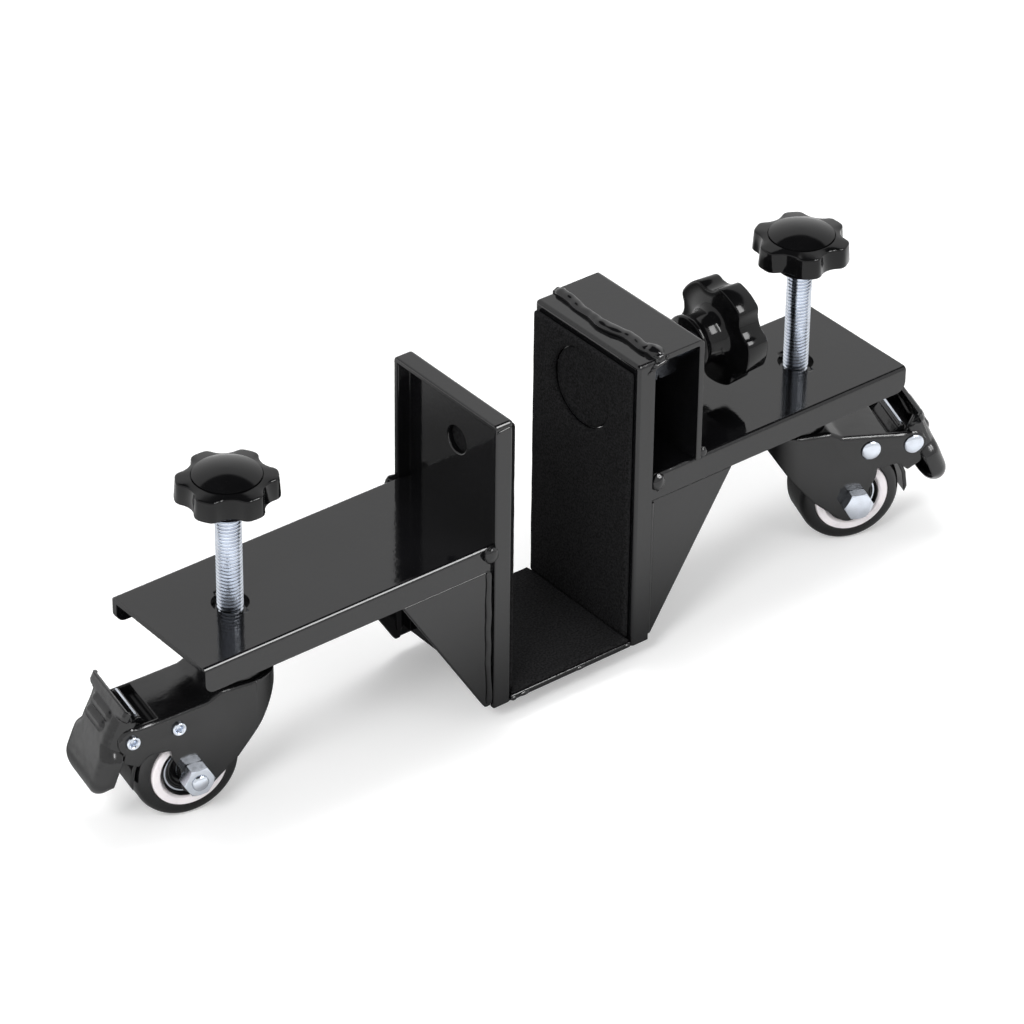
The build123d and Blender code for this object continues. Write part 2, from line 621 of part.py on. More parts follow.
def brake_pedal():
    """Pressed pedal: curved face with two ribs, turned-in rim, side flanges, hub and cam."""
    half = fork_half_width
    low, top = pedal_tail[1], pedal_top[1]
    face = across(pedal_band(0, brake_sheet, low, top), -half, half) & pedal_face(0)
    pan = across(pedal_band(0, pedal_pan_depth, low, pedal_pan_top), -half, half) & pedal_face(0)
    hollow = pedal_band(brake_sheet, pedal_pan_depth + 1, low, pedal_pan_top + 1)
    pan -= across(hollow, -half, half) & pedal_face(brake_sheet)
    body = (face + pan) & right_of(20, low - 5, top + 5)
    body = fillet(outer_edges(body, low, top), pedal_edge)
    lip = outline([(pedal_top[0] - brake_sheet, top - 2.5, 0), (pedal_top[0] - 0.1, top - 1, 0),
                   (pedal_top[0] - 3, top + 1.6, 0), (pedal_top[0] - 4.2, top + 0.3, 0)])
    body += across(lip, -half, half)

    pivot_x, pivot_z = pedal_rivet
    flange = outline([(pivot_x - 3, pivot_z + 6.3, 0), (pedal_top[0] + 1.0, top - 4, 0),
                      (pedal_bulge[0] - 0.8, pedal_bulge[1], 0),
                      (pedal_bulge[0] + 5.0, pedal_pan_top, 0), (pivot_x + 4.6, pivot_z - 5.3, 4)])
    flange += Pos(*pedal_rivet) * Circle(7)
    inner = brake_half_width - brake_sheet
    for low, high in ((-brake_half_width, -inner), (inner, brake_half_width)):
        body += across(flange, low, high)

    body += across(Pos(*pedal_rivet) * Circle(pedal_hub_radius), -inner, inner)
    body += across(pedal_cam(), -cam_half_width, cam_half_width)

    arc = ThreePointArc(pedal_top, pedal_bulge, pedal_tail)
    for share in (0.2, 0.38):
        spot = arc @ share
        bar = extrude(Plane.XZ * Circle(rib_radius), amount=rib_length / 2, both=True)
        body += Pos(spot.X - rib_radius / 3, 0, spot.Y) * chamfer(bar.edges(), rib_radius * 0.6)
    return body - across(Pos(*pedal_rivet) * Circle(rivet_radius + rivet_play), -50, 50)


def at_caster(part, side):
    """Carry a piece from the axle's frame to its place on one side of the frame."""
    sign = 1 if side == "right" else -1
    return Pos(sign * jack_x, 0, 0) * Rot(0, 0, rest_swivel[side]) * Pos(trail, 0, axle_z) * part


# ---------------------------------------------------------------- build every node
save(on_side(upright(clamp_hole_dia / 2), "left"), "left_upright")
save(upright(foot_opening), "right_upright")
save(cradle_floor(), "cradle_floor")
save(clamp_bracket(), "clamp_bracket")
save(on_side(wall_foam(0), "left"), "left_wall_foam")
save(wall_foam(foot_opening), "right_wall_foam")
save(floor_foam(), "floor_foam")

save(along_clamp(hexagon(nut_flats, screw_radius + thread_play, bracket_in - nut_height, bracket_in)),
     "clamp_nut")
save(clamp_screw(), "clamp_screw")
save(clamp_foot(), "clamp_foot")
save(clamp_foot_clip(), "clamp_foot_clip")
save(clamp_foot_foam(), "clamp_foot_foam")
at_knob = Pos(0, 0, clamp_knob_x) * Rot(0, 0, clamp_knob_turn)
save(along_clamp(at_knob * clamp_knob()), "clamp_knob")
save(along_clamp(at_knob * knob_cap(clamp_knob_front)), "clamp_knob_cap")

caster_parts = {
    "swivel_head": swivel_head(), "lower_cup": lower_cup(), "swivel_bearings": swivel_bearings(),
    "fork": fork(), "tyre": tyre(), "rim": rim(), "wheel_bearings": wheel_bearings(),
    "axle_spacers": axle_spacers(), "axle_bolt": axle_bolt(), "axle_nut": axle_nut(),
    "brake_rivets": brake_rivets(), "brake_tongue": brake_tongue(), "brake_pedal": brake_pedal()}

for side, sign in (("left", -1), ("right", 1)):
    save(on_side(shelf(), side), f"{side}_shelf")
    save(on_side(gusset(-shelf_half, sheet - shelf_half), side), f"{side}_front_gusset")
    save(on_side(gusset(shelf_half - sheet, shelf_half), side), f"{side}_rear_gusset")
    save(on_side(jack_nut(), side), f"{side}_jack_nut")
    save(Pos(sign * jack_x, 0, 0) * jack_screw(), f"{side}_jack_screw")
    at_knob = Pos(sign * jack_x, 0, jack_knob_z[side]) * Rot(0, 0, jack_knob_turn[side])
    save(at_knob * jack_knob(), f"{side}_jack_knob")
    save(at_knob * knob_cap(jack_knob_front), f"{side}_jack_knob_cap")
    for name, part in caster_parts.items():
        save(at_caster(part, side), f"{side}_{name}")
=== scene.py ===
import json
import math

import bmesh
import bpy
from bpy.props import FloatProperty, FloatVectorProperty, PointerProperty
from mathutils import Matrix, Vector, noise


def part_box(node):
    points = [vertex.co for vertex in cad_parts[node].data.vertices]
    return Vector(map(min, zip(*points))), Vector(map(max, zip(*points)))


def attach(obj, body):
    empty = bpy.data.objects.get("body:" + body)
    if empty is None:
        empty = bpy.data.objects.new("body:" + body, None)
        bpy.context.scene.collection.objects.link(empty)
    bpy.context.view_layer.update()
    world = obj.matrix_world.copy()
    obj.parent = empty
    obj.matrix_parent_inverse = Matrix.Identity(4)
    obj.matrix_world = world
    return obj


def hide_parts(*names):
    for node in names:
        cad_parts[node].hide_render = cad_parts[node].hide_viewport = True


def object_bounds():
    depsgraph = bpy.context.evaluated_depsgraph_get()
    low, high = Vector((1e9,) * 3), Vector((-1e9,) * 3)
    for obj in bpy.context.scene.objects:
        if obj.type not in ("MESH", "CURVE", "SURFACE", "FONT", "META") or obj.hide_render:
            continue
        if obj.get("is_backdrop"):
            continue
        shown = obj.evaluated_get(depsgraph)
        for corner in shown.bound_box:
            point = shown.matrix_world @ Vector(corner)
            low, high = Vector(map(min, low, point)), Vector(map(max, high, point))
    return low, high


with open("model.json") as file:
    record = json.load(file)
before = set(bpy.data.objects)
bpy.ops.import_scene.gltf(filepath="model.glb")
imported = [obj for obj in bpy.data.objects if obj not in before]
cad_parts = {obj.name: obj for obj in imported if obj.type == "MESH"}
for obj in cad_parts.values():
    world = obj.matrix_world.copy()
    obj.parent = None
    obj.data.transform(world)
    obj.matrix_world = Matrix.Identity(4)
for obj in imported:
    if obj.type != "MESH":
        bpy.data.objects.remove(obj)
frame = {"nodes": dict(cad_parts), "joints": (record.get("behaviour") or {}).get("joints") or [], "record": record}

bl_info = {
    "name": "Clamp cradle",
    "version": (1, 0, 0),
    "blender": (4, 5, 0),
    "location": "3D View > Sidebar > Cradle",
    "description": "Finishes and fine shapes of a two-caster clamp cradle",
    "category": "Object",
}

MM = 0.001
NODES = frame["nodes"]
BODY_OF = {node: body for body, nodes in frame["record"]["behaviour"]["bodies"].items() for node in nodes}
SLOT_OF = {part["node"]: part["material_slot"] for part in frame["record"]["subparts"]}
SIDES = ("left", "right")
ENAMEL, CASTER_ENAMEL, FOAM, KNOB = "frame_enamel", "caster_enamel", "foam", "knob_plastic"
TYRE, RIM, ZINC = "tyre", "rim_plastic", "zinc"
JOIN_GAP = 2e-6                         # metres between corners that are one
LEVEL_ANGLE = math.radians(0.3)         # faces this near to level are one
EDGE_ANGLE, CREASE = math.radians(40), 35.0
FACE_WEIGHT = 80
Z_TO_X = Matrix.Rotation(math.radians(90), 4, "Y")


# ---- sizes and colours
def length(name, text, millimetres):
    return FloatProperty(name=name, description=text, default=millimetres * MM, min=0.0,
                         precision=5, unit="LENGTH")


def colour(name, text, value):
    return FloatVectorProperty(name=name, description=text, default=value, min=0.0, max=1.0,
                               size=3, subtype="COLOR")


class CradleSizes(bpy.types.PropertyGroup):
    """Fine sizes that the plain model leaves out."""
    plate_edge: length("Plate edge", "Easing of the enamelled plates' edges", 0.8)
    shelf_fold: length("Shelf fold", "Rounding of the shelves' two long folds", 2.9)
    fork_fold: length("Fork fold", "Rounding of the fold between a fork's crown and its cheeks", 2.2)
    caster_edge: length("Caster edge", "Easing of the pressed caster parts' edges", 0.35)
    thread_pitch: length("Thread pitch", "Advance of one turn of the screws", 1.75)
    thread_depth: length("Thread depth", "Crest to root of the screws' thread", 0.95)
    knob_edge: length("Knob edge", "Rounding of a star knob's edges", 0.9)
    foam_voxel: length("Foam mesh", "Mesh size of the foam linings", 1.1)
    foam_wave: length("Foam unevenness", "How far a foam lining's face rises and falls", 0.12)


class CradleColours(bpy.types.PropertyGroup):
    """Base colours of the finishes."""
    enamel: colour("Frame enamel", "Gloss powder coat of the frame", (0.004, 0.004, 0.0045))
    caster: colour("Caster enamel", "Black finish of the casters", (0.006, 0.006, 0.0065))
    foam: colour("Foam", "Closed-cell foam", (0.0105, 0.0105, 0.011))
    knob: colour("Knob", "Moulded knob plastic", (0.003, 0.003, 0.0033))
    tyre: colour("Tyre", "Moulded tread", (0.005, 0.005, 0.0055))
    rim: colour("Rim", "Pale wheel centre", (0.95, 0.90, 0.92))
    zinc: colour("Zinc", "Bright zinc plate", (0.66, 0.70, 0.77))
    floor: colour("Floor", "Plain studio floor", (0.86, 0.86, 0.86))


# ---- materials
NOISE_MIDDLE, TONE_MIDDLE = (0.3, 0.7), (0.35, 0.65)


def new_nodes(tree, *kinds):
    return [tree.nodes.new("ShaderNode" + kind) for kind in kinds]


def wire(tree, *links):
    """Join each link's source node and output to its target node and input."""
    for source, output, target, socket in links:
        tree.links.new(source.outputs[output], target.inputs[socket])


def set_range(node, spread, levels):
    """Have a range node map a spread of values onto two levels."""
    for socket, value in zip(("From Min", "From Max", "To Min", "To Max"), (*spread, *levels)):
        node.inputs[socket].default_value = value


def texture_of(tree, scale, detail=None, stretch=(1.0, 1.0, 1.0)):
    """Noise, or rounded cells if no detail is given, in the piece's own coordinates.

    The scale is in cells per metre. Returns the texture's node and the name of its output.
    """
    kind, output = ("TexVoronoi", "Distance") if detail is None else ("TexNoise", "Fac")
    place, spread, texture = new_nodes(tree, "TexCoord", "Mapping", kind)
    spread.inputs["Scale"].default_value = stretch
    texture.inputs["Scale"].default_value = scale
    if detail is not None:
        texture.inputs["Detail"].default_value = detail
    wire(tree, (place, "Object", spread, "Vector"), (spread, "Vector", texture, "Vector"))
    return texture, output


def vary_roughness(tree, shader, texture, low, high):
    spread, = new_nodes(tree, "MapRange")
    set_range(spread, NOISE_MIDDLE, (low, high))
    wire(tree, (*texture_of(tree, *texture), spread, "Value"), (spread, "Result", shader, "Roughness"))


def vary_colour(tree, shader, base, texture, low, high):
    """Let the base colour wander between two shares of itself."""
    ramp, = new_nodes(tree, "ValToRGB")
    for element, position, share in zip(ramp.color_ramp.elements, TONE_MIDDLE, (low, high)):
        element.position = position
        element.color = (*(min(1.0, part * share) for part in base), 1.0)
    wire(tree, (*texture_of(tree, *texture), ramp, "Fac"), (ramp, "Color", shader, "Base Color"))


def relief(tree, shader, bumps, rounding):
    """Stack bumps, each a texture and its depth in metres, over edges rounded by a radius."""
    below = None
    if rounding:
        below, = new_nodes(tree, "Bevel")
        below.samples = 8
        below.inputs["Radius"].default_value = rounding
    for texture, depth in bumps:
        bump, = new_nodes(tree, "Bump")
        bump.inputs["Distance"].default_value = depth
        wire(tree, (*texture_of(tree, *texture), bump, "Height"))
        if below:
            wire(tree, (below, "Normal", bump, "Normal"))
        below = bump
    wire(tree, (below, "Normal", shader, "Normal"))


def finish(slot, base, roughness, rough, tones, bumps, metallic=0.0, shine=0.5, rounding=0.0):
    """A Principled material; rough and tones are a texture and the two levels that it spans."""
    made = bpy.data.materials.new(slot)
    made.use_nodes = True
    tree = made.node_tree
    shader = tree.nodes["Principled BSDF"]
    shader.inputs["Base Color"].default_value = (*base, 1.0)
    shader.inputs["Roughness"].default_value = roughness
    shader.inputs["Metallic"].default_value = metallic
    shader.inputs["Specular IOR Level"].default_value = shine
    vary_roughness(tree, shader, *rough)
    vary_colour(tree, shader, base, *tones)
    relief(tree, shader, bumps, rounding)
    return made


def gloss_powder_coat(base):
    return finish(ENAMEL, base, 0.08, ((60, 3), 0.05, 0.11), ((25, 2), 0.85, 1.2),
                  [((420, 2), 3.2e-5), ((1500, 1), 6e-6)])


def caster_coat(base):
    return finish(CASTER_ENAMEL, base, 0.2, ((90, 3), 0.1, 0.2), ((40, 2), 0.8, 1.25),
                  [((230, 3, (1, 1, 0.6)), 8e-5), ((1100, 2), 1.2e-5)], rounding=1.2 * MM)


def closed_cell_foam(base):
    return finish(FOAM, base, 0.85, ((120, 2), 0.78, 0.92), ((1100, 3), 0.55, 1.65),
                  [((70, 2), 1.6e-4), ((1500,), 9e-5), ((3200, 2), 5e-5)], shine=0.04)


def moulded_plastic(base):
    return finish(KNOB, base, 0.1, ((70, 2), 0.07, 0.12), ((50, 2), 0.85, 1.2),
                  [((110, 2), 4e-5)], shine=0.26)


def moulded_tread(base):
    return finish(TYRE, base, 0.14, ((120, 3), 0.1, 0.24), ((60, 2), 0.8, 1.3),
                  [((160, 2), 4e-5), ((900, 2), 8e-6)])


def pale_plastic(base):
    return finish(RIM, base, 0.3, ((200, 2), 0.25, 0.38), ((80, 2), 0.93, 1.03), [((300, 2), 2e-5)])


def bright_zinc(base):
    return finish(ZINC, base, 0.22, ((350, 3), 0.14, 0.24), ((160, 3), 0.9, 1.03),
                  [((700, 3), 6e-6)], metallic=1.0)


FINISHES = {ENAMEL: (gloss_powder_coat, "enamel"), CASTER_ENAMEL: (caster_coat, "caster"),
            FOAM: (closed_cell_foam, "foam"), KNOB: (moulded_plastic, "knob"),
            TYRE: (moulded_tread, "tyre"), RIM: (pale_plastic, "rim"), ZINC: (bright_zinc, "zinc")}


def finish_of(slot):
    """The material of one of the record's slots, made once."""
    key = "finish " + slot
    made = bpy.data.materials.get(key)
    if made is None:
        build, colour_name = FINISHES[slot]
        made = build(tuple(getattr(bpy.context.scene.cradle_colours, colour_name)))
        made.name = key
    return made


# ---- places
def put(name, data):
    """A new object in the scene."""
    made = bpy.data.objects.new(name, data)
    bpy.context.scene.collection.objects.link(made)
    return made


def axes(first, second, third):
    """Matrix whose columns are three directions."""
    return Matrix((first, second, third)).transposed().to_4x4()


def joint_place(name):
    """Matrix from a caster joint's own millimetres (back, across, up) to the scene."""
    joint = next(entry for entry in frame["joints"] if entry["name"] == name)
    across = Vector(joint["axis"]).normalized()
    back = across.cross(Vector((0, 0, 1)))
    return Matrix.Translation(joint["pos_m"]) @ axes(back, across, (0, 0, 1)) @ Matrix.Scale(MM, 4)


def half_span(node, place):
    """How far a node reaches across, in millimetres either side of a joint's middle."""
    back_in = place.inverted()
    return max(abs((back_in @ vert.co).y) for vert in NODES[node].data.vertices)


def middle_of(node):
    low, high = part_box(node)
    return (low + high) / 2


# ---- shared shapes
def piece(name, mesh, slot, body, replaced=(), crease=CREASE):
    """Put a mesh into the scene as a finished piece that rides on a body."""
    shell = bpy.data.meshes.new(name)
    bmesh.ops.recalc_face_normals(mesh, faces=mesh.faces)
    mesh.to_mesh(shell)
    mesh.free()
    for face in shell.polygons:
        face.use_smooth = True
    shell.set_sharp_from_angle(angle=math.radians(crease))
    shell.materials.append(finish_of(slot))
    made = put(name, shell)
    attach(made, body)
    if replaced:
        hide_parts(*replaced)
    return made


def ease_edges(made, width, segments):
    """Round a piece's sharp edges by a width, and shade it by its large faces."""
    bevel = made.modifiers.new("eased edges", "BEVEL")
    bevel.width = width
    bevel.segments = segments
    bevel.limit_method = "ANGLE"
    bevel.angle_limit = EDGE_ANGLE
    shade = made.modifiers.new("even shading", "WEIGHTED_NORMAL")
    shade.weight = FACE_WEIGHT


def dress(node, edge=0.0, segments=2, flat=False):
    """Give a node of the plain model its finish and eased edges; flat joins a plate's level faces."""
    made = NODES[node]
    for spot in made.material_slots:
        spot.material = finish_of(SLOT_OF[node])
    if edge:
        weld = made.modifiers.new("joined corners", "WELD")
        weld.merge_threshold = JOIN_GAP
        if flat:
            level = made.modifiers.new("level faces", "DECIMATE")
            level.decimate_type = "DISSOLVE"
            level.angle_limit = LEVEL_ANGLE
        ease_edges(made, edge, segments)


def fresh_mesh(node):
    """Copy of a node's mesh with its split corners joined."""
    mesh = bmesh.new()
    mesh.from_mesh(NODES[node].data)
    bmesh.ops.remove_doubles(mesh, verts=mesh.verts, dist=JOIN_GAP)
    return mesh


def folded_mesh(node, is_fold, radius, segments):
    """Copy of a node's mesh whose chosen edges, each between two faces, are rounded as folds."""
    mesh = fresh_mesh(node)
    bmesh.ops.dissolve_limit(mesh, angle_limit=LEVEL_ANGLE, verts=mesh.verts, edges=mesh.edges)
    mesh.normal_update()
    folds = [line for line in mesh.edges if len(line.link_faces) == 2 and is_fold(line)]
    if not folds:
        raise RuntimeError(node + " has no edges to fold")
    bmesh.ops.bevel(mesh, geom=folds, offset=radius, offset_type="OFFSET", segments=segments, profile=0.5,
                    affect="EDGES", clamp_overlap=False)
    return mesh


def reach_of(node, middle, beyond):
    """Largest radius of a node about an upright line, above a height."""
    return max(math.hypot(vert.co.x - middle.x, vert.co.y - middle.y)
               for vert in NODES[node].data.vertices if vert.co.z > beyond)


def add_rings(mesh, rings, capped=True):
    """Skin a row of closed rings of equal count, and close its ends."""
    rows = [[mesh.verts.new(spot) for spot in ring] for ring in rings]
    count = len(rows[0])
    for lower, upper in zip(rows, rows[1:]):
        for at in range(count):
            after = (at + 1) % count
            mesh.faces.new((lower[at], lower[after], upper[after], upper[at]))
    if capped:
        mesh.faces.new(rows[0][::-1])
        mesh.faces.new(rows[-1])


def circle(radius, height, count):
    step = 2 * math.pi / count
    return [Vector((radius * math.cos(at * step), radius * math.sin(at * step), height))
            for at in range(count)]


def add_turned(mesh, outline, count=64):
    """Closed solid of revolution about Z from (radius, height) points."""
    add_rings(mesh, [circle(radius, height, count) for radius, height in outline])


def add_thread(mesh, crest, root, pitch, low, high):
    """Right-hand threaded rod about Z, cut square at both ends."""
    columns = 48
    form = ((0.0, crest), (0.14, crest), (0.44, root), (0.62, root))
    rows = []
    for turn in range(int((high - low) / pitch) + 3):
        for share, radius in form:
            start = low - 1.5 * pitch + (turn + share) * pitch
            rows.append([mesh.verts.new((radius * math.cos(2 * math.pi * at / columns),
                                         radius * math.sin(2 * math.pi * at / columns),
                                         start + pitch * at / columns)) for at in range(columns)])
    for row in range(len(rows) - 1):
        lower, upper = rows[row], rows[row + 1]
        for at in range(columns - 1):
            mesh.faces.new((lower[at], lower[at + 1], upper[at + 1], upper[at]))
        if row + 1 + len(form) < len(rows):
            far_lower, far_upper = rows[row + len(form)], rows[row + 1 + len(form)]
            mesh.faces.new((lower[-1], far_lower[0], far_upper[0], upper[-1]))
    for height, keep_above in ((low, True), (high, False)):
        cut = bmesh.ops.bisect_plane(mesh, geom=mesh.verts[:] + mesh.edges[:] + mesh.faces[:], dist=1e-7,
                                     plane_co=(0, 0, height), plane_no=(0, 0, 1),
                                     clear_inner=keep_above, clear_outer=not keep_above)
        rim = [part for part in cut["geom_cut"] if isinstance(part, bmesh.types.BMEdge)]
        bmesh.ops.edgeloop_fill(mesh, edges=rim)


def moved(mesh, matrix):
    bmesh.ops.transform(mesh, matrix=matrix, verts=mesh.verts)


def take_in(mesh, other):
    """Add another mesh's faces to a mesh, and free the other."""
    shell = bpy.data.meshes.new("taken in")
    other.to_mesh(shell)
    other.free()
    mesh.from_mesh(shell)
    bpy.data.meshes.remove(shell)


def star_ring(tip, depth, lobes, inset, height, turn):
    """Outline of a star knob, moved inwards by inset. Lobes have round corners and round hollows."""
    hollow, corner = 9 * MM, 4.5 * MM
    far = tip - depth + hollow
    centre = tip - corner
    reach = hollow + corner
    lean = math.acos((far ** 2 + centre ** 2 - reach ** 2) / (2 * far * centre))
    half = math.pi / lobes
    corner_at = half - lean
    heart = (centre * math.cos(corner_at), centre * math.sin(corner_at))
    dip = (far * math.cos(half), far * math.sin(half))
    towards = math.atan2(dip[1] - heart[1], dip[0] - heart[0])

    def arc(middle, radius, start, end, count, steps):
        angles = [start + (end - start) * at / steps for at in range(count)]
        return [(middle[0] + radius * math.cos(angle), middle[1] + radius * math.sin(angle))
                for angle in angles]

    side = arc((0, 0), tip - inset, 0, corner_at, 3, 3)
    side += arc(heart, corner - inset, corner_at, towards, 6, 6)
    side += arc(dip, hollow + inset, towards + math.pi, half + math.pi, 5, 4)
    lobe = [(x, -y) for x, y in side[:0:-1]] + side[:-1]
    bearings = [turn + at * 2 * half for at in range(lobes)]
    return [Vector((x * math.cos(middle) - y * math.sin(middle),
                    x * math.sin(middle) + y * math.cos(middle), height))
            for middle in bearings for x, y in lobe]


def even_circle(like, radius, height):
    """Circle whose points stand at the same bearings as another ring's."""
    return [Vector((spot.x, spot.y, 0)).normalized() * radius + Vector((0, 0, height)) for spot in like]


# ---- stage
SKY_FADE = (math.sin(math.radians(49)), math.sin(math.radians(52)))
SKY_LEVELS, SKY_LIGHT = (1.0, 0.04), 0.62
FLOOR_HALF, FLOOR_GLOW = 6.0, 0.28
# Glossy faces see a painted shadow, a dark oval on the floor in place of the cradle's shade: its middle and
# half sizes, the shares of those between which it fades, how much of it shows, and its tone.
PAINTED_SHADE_MIDDLE, PAINTED_SHADE_HALF = 0.10, (0.33, 0.19)
PAINTED_SHADE_FADE, PAINTED_SHADE_LEVELS, PAINTED_SHADE_TONE = (0.6, 1.25), (0.85, 0.0), 0.02
LAMP_AIM, UPWARDS = Vector((0, 0, 0.06)), (0, 0, 1)
# Name, bearing, distance, size across and along, watts, way of its length, and whether it is a gleam,
# which only shows in glossy faces.
LAMPS = (
    ("top softbox", (0.05, 0.16, 1.0), 1.9, (1.0, 0.6), 14, UPWARDS, False),
    ("left softbox", (-1.5, -0.8, 1.5), 2.2, (0.6, 0.6), 20, UPWARDS, False),
    ("front softbox", (0.5, -1.7, 1.1), 2.1, (0.8, 0.8), 4, UPWARDS, False),
    ("shelf gleam", (1.50, -1.90, 2.45), 3.4, (0.7, 1.9), 56, (0, 0.755, 0.655), True),
    ("caster gleam", (0.55, -2.10, 2.60), 3.4, (0.5, 2.2), 56, (0.137, 0.77, 0.63), True),
)


def seen_directly(tree):
    """1 for camera, glossy and transmission rays, else 0."""
    rays, first, second = new_nodes(tree, "LightPath", "Math", "Math")
    first.operation = second.operation = "MAXIMUM"
    wire(tree, (rays, "Is Camera Ray", first, 0), (rays, "Is Glossy Ray", first, 1),
         (first, "Value", second, 0), (rays, "Is Transmission Ray", second, 1))
    return second


def studio_world():
    """Even light all round, and a white surround that fades out overhead for glossy faces."""
    world = bpy.data.worlds.new("studio")
    bpy.context.scene.world = world
    world.use_nodes = True
    tree = world.node_tree
    tree.nodes.clear()
    seen, lit, blend, out = new_nodes(tree, "Background", "Background", "MixShader", "OutputWorld")
    place, split, fade = new_nodes(tree, "TexCoord", "SeparateXYZ", "MapRange")
    fade.interpolation_type = "SMOOTHSTEP"
    set_range(fade, SKY_FADE, SKY_LEVELS)
    lit.inputs["Color"].default_value = (1, 1, 1, 1)
    lit.inputs["Strength"].default_value = SKY_LIGHT
    wire(tree, (place, "Generated", split, "Vector"), (split, "Z", fade, "Value"),
         (fade, "Result", seen, "Color"), (seen_directly(tree), "Value", blend, "Fac"),
         (lit, "Background", blend, 1), (seen, "Background", blend, 2), (blend, "Shader", out, "Surface"))


def floor_finish():
    """Pale matt floor with a faint glow, and a painted shadow: a dark oval that only glossy faces see."""
    made = bpy.data.materials.new("studio floor")
    made.use_nodes = True
    tree = made.node_tree
    tree.nodes.clear()
    matte, glow, none, blend, both = new_nodes(tree, "BsdfDiffuse", "Emission", "Emission", "MixShader",
                                               "AddShader")
    matte.inputs["Color"].default_value = (*bpy.context.scene.cradle_colours.floor, 1)
    glow.inputs["Strength"].default_value = FLOOR_GLOW
    none.inputs["Strength"].default_value = 0.0
    wire(tree, (seen_directly(tree), "Value", blend, "Fac"), (none, "Emission", blend, 1),
         (glow, "Emission", blend, 2), (matte, "BSDF", both, 0), (blend, "Shader", both, 1))
    place, spread, near, shade = new_nodes(tree, "TexCoord", "Mapping", "VectorMath", "MapRange")
    rays, share, painted_shade, final, out = new_nodes(tree, "LightPath", "Math", "BsdfDiffuse", "MixShader",
                                               "OutputMaterial")
    spread.inputs["Location"].default_value = (0, -PAINTED_SHADE_MIDDLE / PAINTED_SHADE_HALF[1], 0)
    spread.inputs["Scale"].default_value = (1 / PAINTED_SHADE_HALF[0], 1 / PAINTED_SHADE_HALF[1], 0)
    near.operation = "LENGTH"
    shade.interpolation_type = "SMOOTHSTEP"
    set_range(shade, PAINTED_SHADE_FADE, PAINTED_SHADE_LEVELS)
    share.operation = "MULTIPLY"
    # painted shadow: this dark tone stands in for the cradle's shade on the floor, in glossy faces only
    painted_shade.inputs["Color"].default_value = (PAINTED_SHADE_TONE, PAINTED_SHADE_TONE, PAINTED_SHADE_TONE, 1)
    wire(tree, (place, "Object", spread, "Vector"), (spread, "Vector", near, 0),
         (near, "Value", shade, "Value"), (shade, "Result", share, 0), (rays, "Is Glossy Ray", share, 1),
         (share, "Value", final, "Fac"), (both, "Shader", final, 1), (painted_shade, "BSDF", final, 2),
         (final, "Shader", out, "Surface"))
    return made


def studio_floor(low):
    """Wide plain floor that keeps the cradle's shadow."""
    mesh = bmesh.new()
    bmesh.ops.create_grid(mesh, x_segments=1, y_segments=1, size=FLOOR_HALF)
    shell = bpy.data.meshes.new("floor")
    mesh.to_mesh(shell)
    mesh.free()
    floor = put("floor", shell)
    floor.location.z = low
    shell.materials.append(floor_finish())
    floor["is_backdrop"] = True


def soft_lamp(name, bearing, distance, size, power, along, gleam):
    """Rectangular lamp that faces the cradle."""
    data = bpy.data.lights.new(name, "AREA")
    data.shape = "RECTANGLE"
    data.size, data.size_y = size
    data.energy = power
    back = Vector(bearing).normalized()
    side = Vector(along).cross(back).normalized()
    lamp = put(name, data)
    lamp.matrix_world = Matrix.Translation(back * distance + LAMP_AIM) @ axes(side, back.cross(side), back)
    lamp.visible_diffuse = not gleam
    lamp.visible_glossy = gleam


def studio_camera():
    """Long lens, looking down on the near side from the left."""
    azimuth, elevation, roll = math.radians(-38.59), math.radians(33.776), math.radians(0.67)
    target, distance = Vector((-6.29, 0.0, 65.66)) * MM, 2267.5 * MM
    back = Vector((math.sin(azimuth) * math.cos(elevation), -math.cos(azimuth) * math.cos(elevation),
                   math.sin(elevation)))
    right = (-back).cross(Vector(UPWARDS)).normalized()
    up = right.cross(-back)
    across = right * math.cos(roll) + up * math.sin(roll)
    above = -right * math.sin(roll) + up * math.cos(roll)
    data = bpy.data.cameras.new("camera")
    data.sensor_width = 36.0
    data.lens = 176.6
    data.clip_start, data.clip_end = 0.1, 60.0
    camera = put("camera", data)
    camera.matrix_world = Matrix.Translation(target + back * distance) @ axes(across, above, back)
    bpy.context.scene.camera = camera


class CRADLE_OT_stage(bpy.types.Operator):
    """Make the floor, the soft lamps and the camera"""
    bl_idname = "cradle.stage"
    bl_label = "Stage"

    def execute(self, context):
        context.scene.view_settings.view_transform = "Standard"
        studio_world()
        studio_floor(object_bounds()[0].z)
        for lamp in LAMPS:
            soft_lamp(*lamp)
        studio_camera()
        return {"FINISHED"}


# ---- frame plates and fasteners
SQUARE, FOLD_SLACK = 0.95, 0.05         # cosine to a square face's direction, and millimetres


def folded_shelf(side, sizes):
    """Shelf channel with its two long edges folded round."""
    node = f"{side}_shelf"
    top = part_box(node)[1].z - FOLD_SLACK * MM

    def is_long_edge(line):
        outs = [face.normal for face in line.link_faces]
        return (min(vert.co.z for vert in line.verts) > top and max(out.z for out in outs) > SQUARE
                and max(abs(out.y) for out in outs) > SQUARE)

    mesh = folded_mesh(node, is_long_edge, sizes.shelf_fold, 8)
    made = piece(f"{side}_folded_shelf", mesh, ENAMEL, BODY_OF[node], [node])
    ease_edges(made, sizes.plate_edge, 3)


class CRADLE_OT_plates(bpy.types.Operator):
    """Enamel the welded plates and ease their edges"""
    bl_idname = "cradle.plates"
    bl_label = "Frame plates"

    def execute(self, context):
        sizes = context.scene.cradle_sizes
        for node in ("left_upright", "right_upright", "cradle_floor", "clamp_bracket"):
            dress(node, sizes.plate_edge, 3, flat=True)
        for side in SIDES:
            folded_shelf(side, sizes)
            for part in ("front_gusset", "rear_gusset"):
                dress(f"{side}_{part}", sizes.plate_edge, 3, flat=True)
        return {"FINISHED"}


